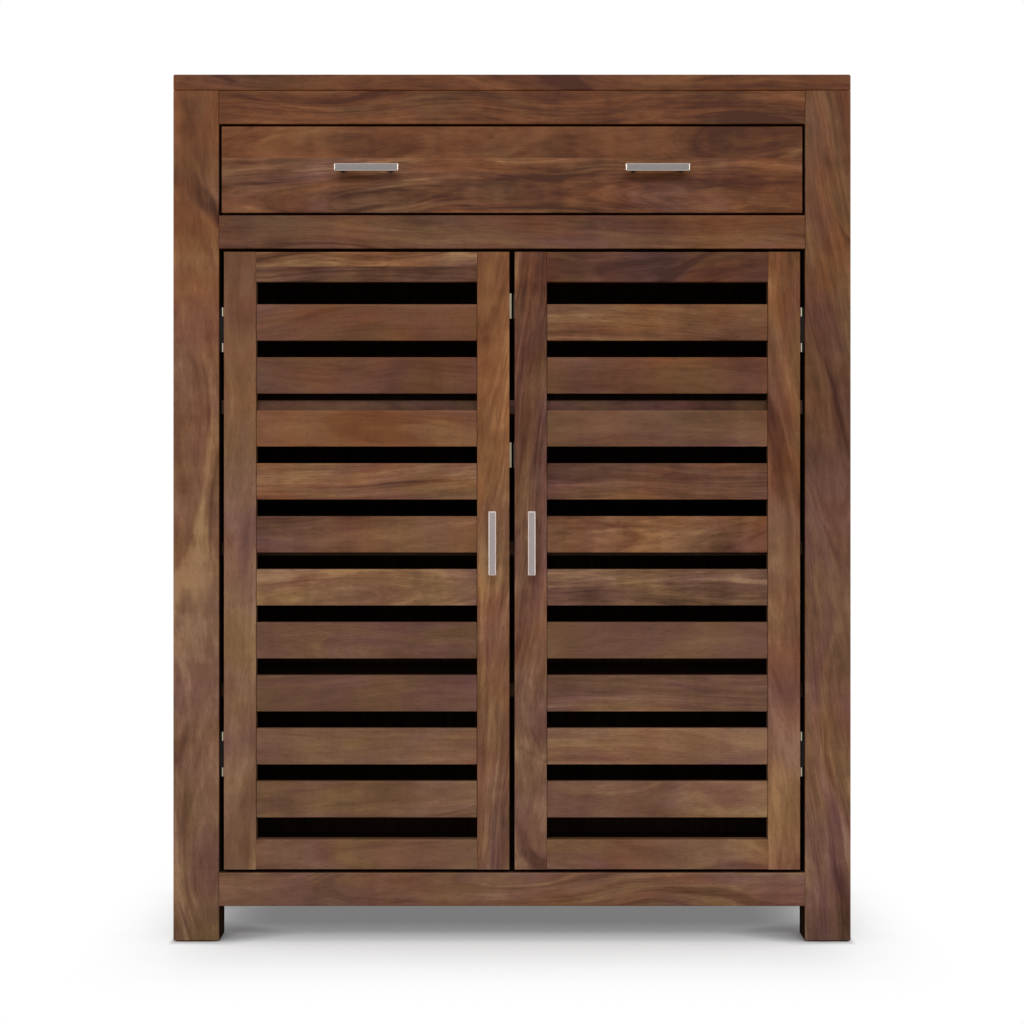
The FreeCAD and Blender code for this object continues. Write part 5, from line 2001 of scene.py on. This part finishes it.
    def build_sky(self, scene: bpy.types.Scene) -> None:
        """Makes the sky white to look at and softer as a light.

        Args:
            scene: the scene that gets the sky.
        """
        world = bpy.data.worlds.new("sky")
        world.use_nodes = True
        world.node_tree.nodes.clear()
        sheet = ShaderSheet(world.node_tree)
        soft, plain = (sheet.result("ShaderNodeBackground", {"Color": WHITE, "Strength": strength})
                       for strength in (self.ambient, 1.0))
        mixed = sheet.result("ShaderNodeMixShader", {0: self.seen(sheet), 1: soft, 2: plain})
        sheet.add("ShaderNodeOutputWorld", {"Surface": mixed})
        scene.world = world


LEFT_DOOR = Door(
    hand=Hand.LEFT,
    stile_cuts=(
        Cut(115.994, 0.18, -0.31, 0.61, (-0.008, 0.0567), 0.042, 0.16, 0.74, (-0.3, 0.9, -0.1)),
        Cut(44.591, 0.17, 0.37, 1.15, (-0.0538, 0.1006), 0.106, -0.08, 1.14, (0.0, 1.2, 0.0)),
    ),
    rail_cuts=(
        Cut(63.618, -0.23, -0.09, 0.94, (-0.0396, 0.0275), 0.024, -0.02, 1.28, (-0.1, 1.3, 0.1)),
        Cut(72.193, 0.02, 0.42, 1.08, (-0.0194, 0.0599), 0.065, 0.07, 1.6, (-1.2, -1.3, -2.1)),
        Cut(88.705, 0.2, -0.47, 1.1, (-0.0023, 0.0364), 0.025, 0.07, 0.73, (0.7, -2.0, 1.5)),
    ),
    slat_cuts=(
        Cut(30.096, 0.1, -1.27, 1.0, (0.0095, 0.0249), 0.015, 0.42, 0.74, (0.6, 1.8, 0.7)),
        Cut(30.5, 0.2, -0.51, 1.06, (-0.0674, 0.0612), -0.049, 0.24, 0.67, (0.2, 2.9, -1.3)),
        Cut(9.606, -0.03, -0.84, 1.02, (-0.014, 0.0207), 0.01, 0.02, 0.59, (0.3, 3.0, -1.9)),
        Cut(16.992, 0.03, -0.89, 1.61, (-0.0233, 0.07), -0.103, 0.17, 0.72, (-0.5, -3.0, 0.2)),
        Cut(28.203, 0.24, 0.03, 0.75, (-0.0105, 0.0404), 0.051, 0.13, 1.22, (-0.9, -0.4, -1.3)),
        Cut(104.388, -0.02, 0.19, 0.81, (-0.0244, 0.0967), 0.037, 0.09, 1.15, (0.8, 0.7, 0.0)),
        Cut(32.493, 0.14, 0.24, 0.79, (0.0677, 0.0323), 0.077, -0.08, 1.05, (0.3, -0.5, 1.1)),
        Cut(81.698, 0.1, 0.42, 1.09, (-0.02, 0.0353), -0.082, -0.3, 0.68, (-0.2, 0.4, 1.0)),
        Cut(103.103, -0.12, -0.01, 1.44, (-0.0454, 0.0568), -0.041, -0.15, 0.62, (-0.3, 1.8, -1.1)),
        Cut(66.596, -0.02, 0.18, 1.37, (-0.0655, 0.039), 0.04, -0.14, 0.56, (-0.3, 1.7, -0.1)),
    ),
    rail_seams=(0.9108,),
)
RIGHT_DOOR = Door(
    hand=Hand.RIGHT,
    stile_cuts=(
        Cut(44.007, 0.14, 0.14, 0.97, (-0.0105, 0.0723), -0.091, -0.06, 1.05, (-0.5, 0.7, 0.0)),
        Cut(71.001, 0.02, -0.13, 1.1, (0.0483, 0.0888), 0.092, -0.09, 1.34, (-0.5, 0.5, -0.5)),
    ),
    rail_cuts=(
        Cut(83.41, -0.31, 0.06, 1.46, (-0.05, 0.0892), 0.016, -0.2, 0.89, (-0.4, 0.0, 0.0)),
        Cut(95.496, 0.21, -0.2, 0.97, (0.0055, 0.0628), 0.015, 0.05, 0.77, (0.9, 0.9, -0.8)),
    ),
    slat_cuts=(
        Cut(77.486, 0.22, -0.45, 1.85, (-0.0189, 0.0665), 0.061, 0.08, 0.75, (0.3, 3.0, 0.6)),
        Cut(9.498, 0.28, 0.0, 1.09, (0.0379, 0.0607), -0.035, 0.0, 0.74, (0.3, 1.3, 0.1)),
        Cut(119.294, -0.04, -0.44, 1.33, (0.0577, 0.0509), -0.038, 0.11, 0.91, (0.0, -1.2, 0.4)),
        Cut(115.993, 0.07, -0.67, 0.7, (0.0227, 0.0937), -0.003, 0.32, 0.42, (0.0, 2.7, -1.7)),
        Cut(48.914, 0.05, -0.76, 1.47, (-0.0493, 0.1049), 0.028, 0.25, 1.48, (-0.4, -0.5, -0.1)),
        Cut(48.506, 0.09, 0.04, 0.95, (-0.0194, 0.088), 0.085, -0.05, 1.6, (-0.2, 2.0, -1.1)),
        Cut(119.305, -0.21, 0.05, 1.39, (0.0555, 0.0532), -0.023, -0.05, 1.2, (0.5, 1.5, 0.1)),
        Cut(48.399, -0.04, 0.04, 0.79, (0.0196, 0.045), 0.0, 0.15, 0.67, (0.9, 0.3, -3.0)),
        Cut(9.6, -0.1, 0.2, 0.56, (-0.0068, 0.0275), -0.043, -0.21, 0.71, (-0.1, 1.2, -1.1)),
        Cut(9.498, 0.02, 0.46, 1.1, (0.043, 0.0574), -0.032, -0.02, 1.12, (-0.3, 1.6, 0.0)),
    ),
)


def main() -> None:
    """Builds the cabinet piece by piece, and the studio round it."""
    logging.basicConfig(level=logging.INFO, format="%(message)s")
    Studio().build()
    Carcass().build()
    Drawer().build()
    LEFT_DOOR.build()
    RIGHT_DOOR.build()
    PostHinges().build()


if __name__ == "__main__":
    main()
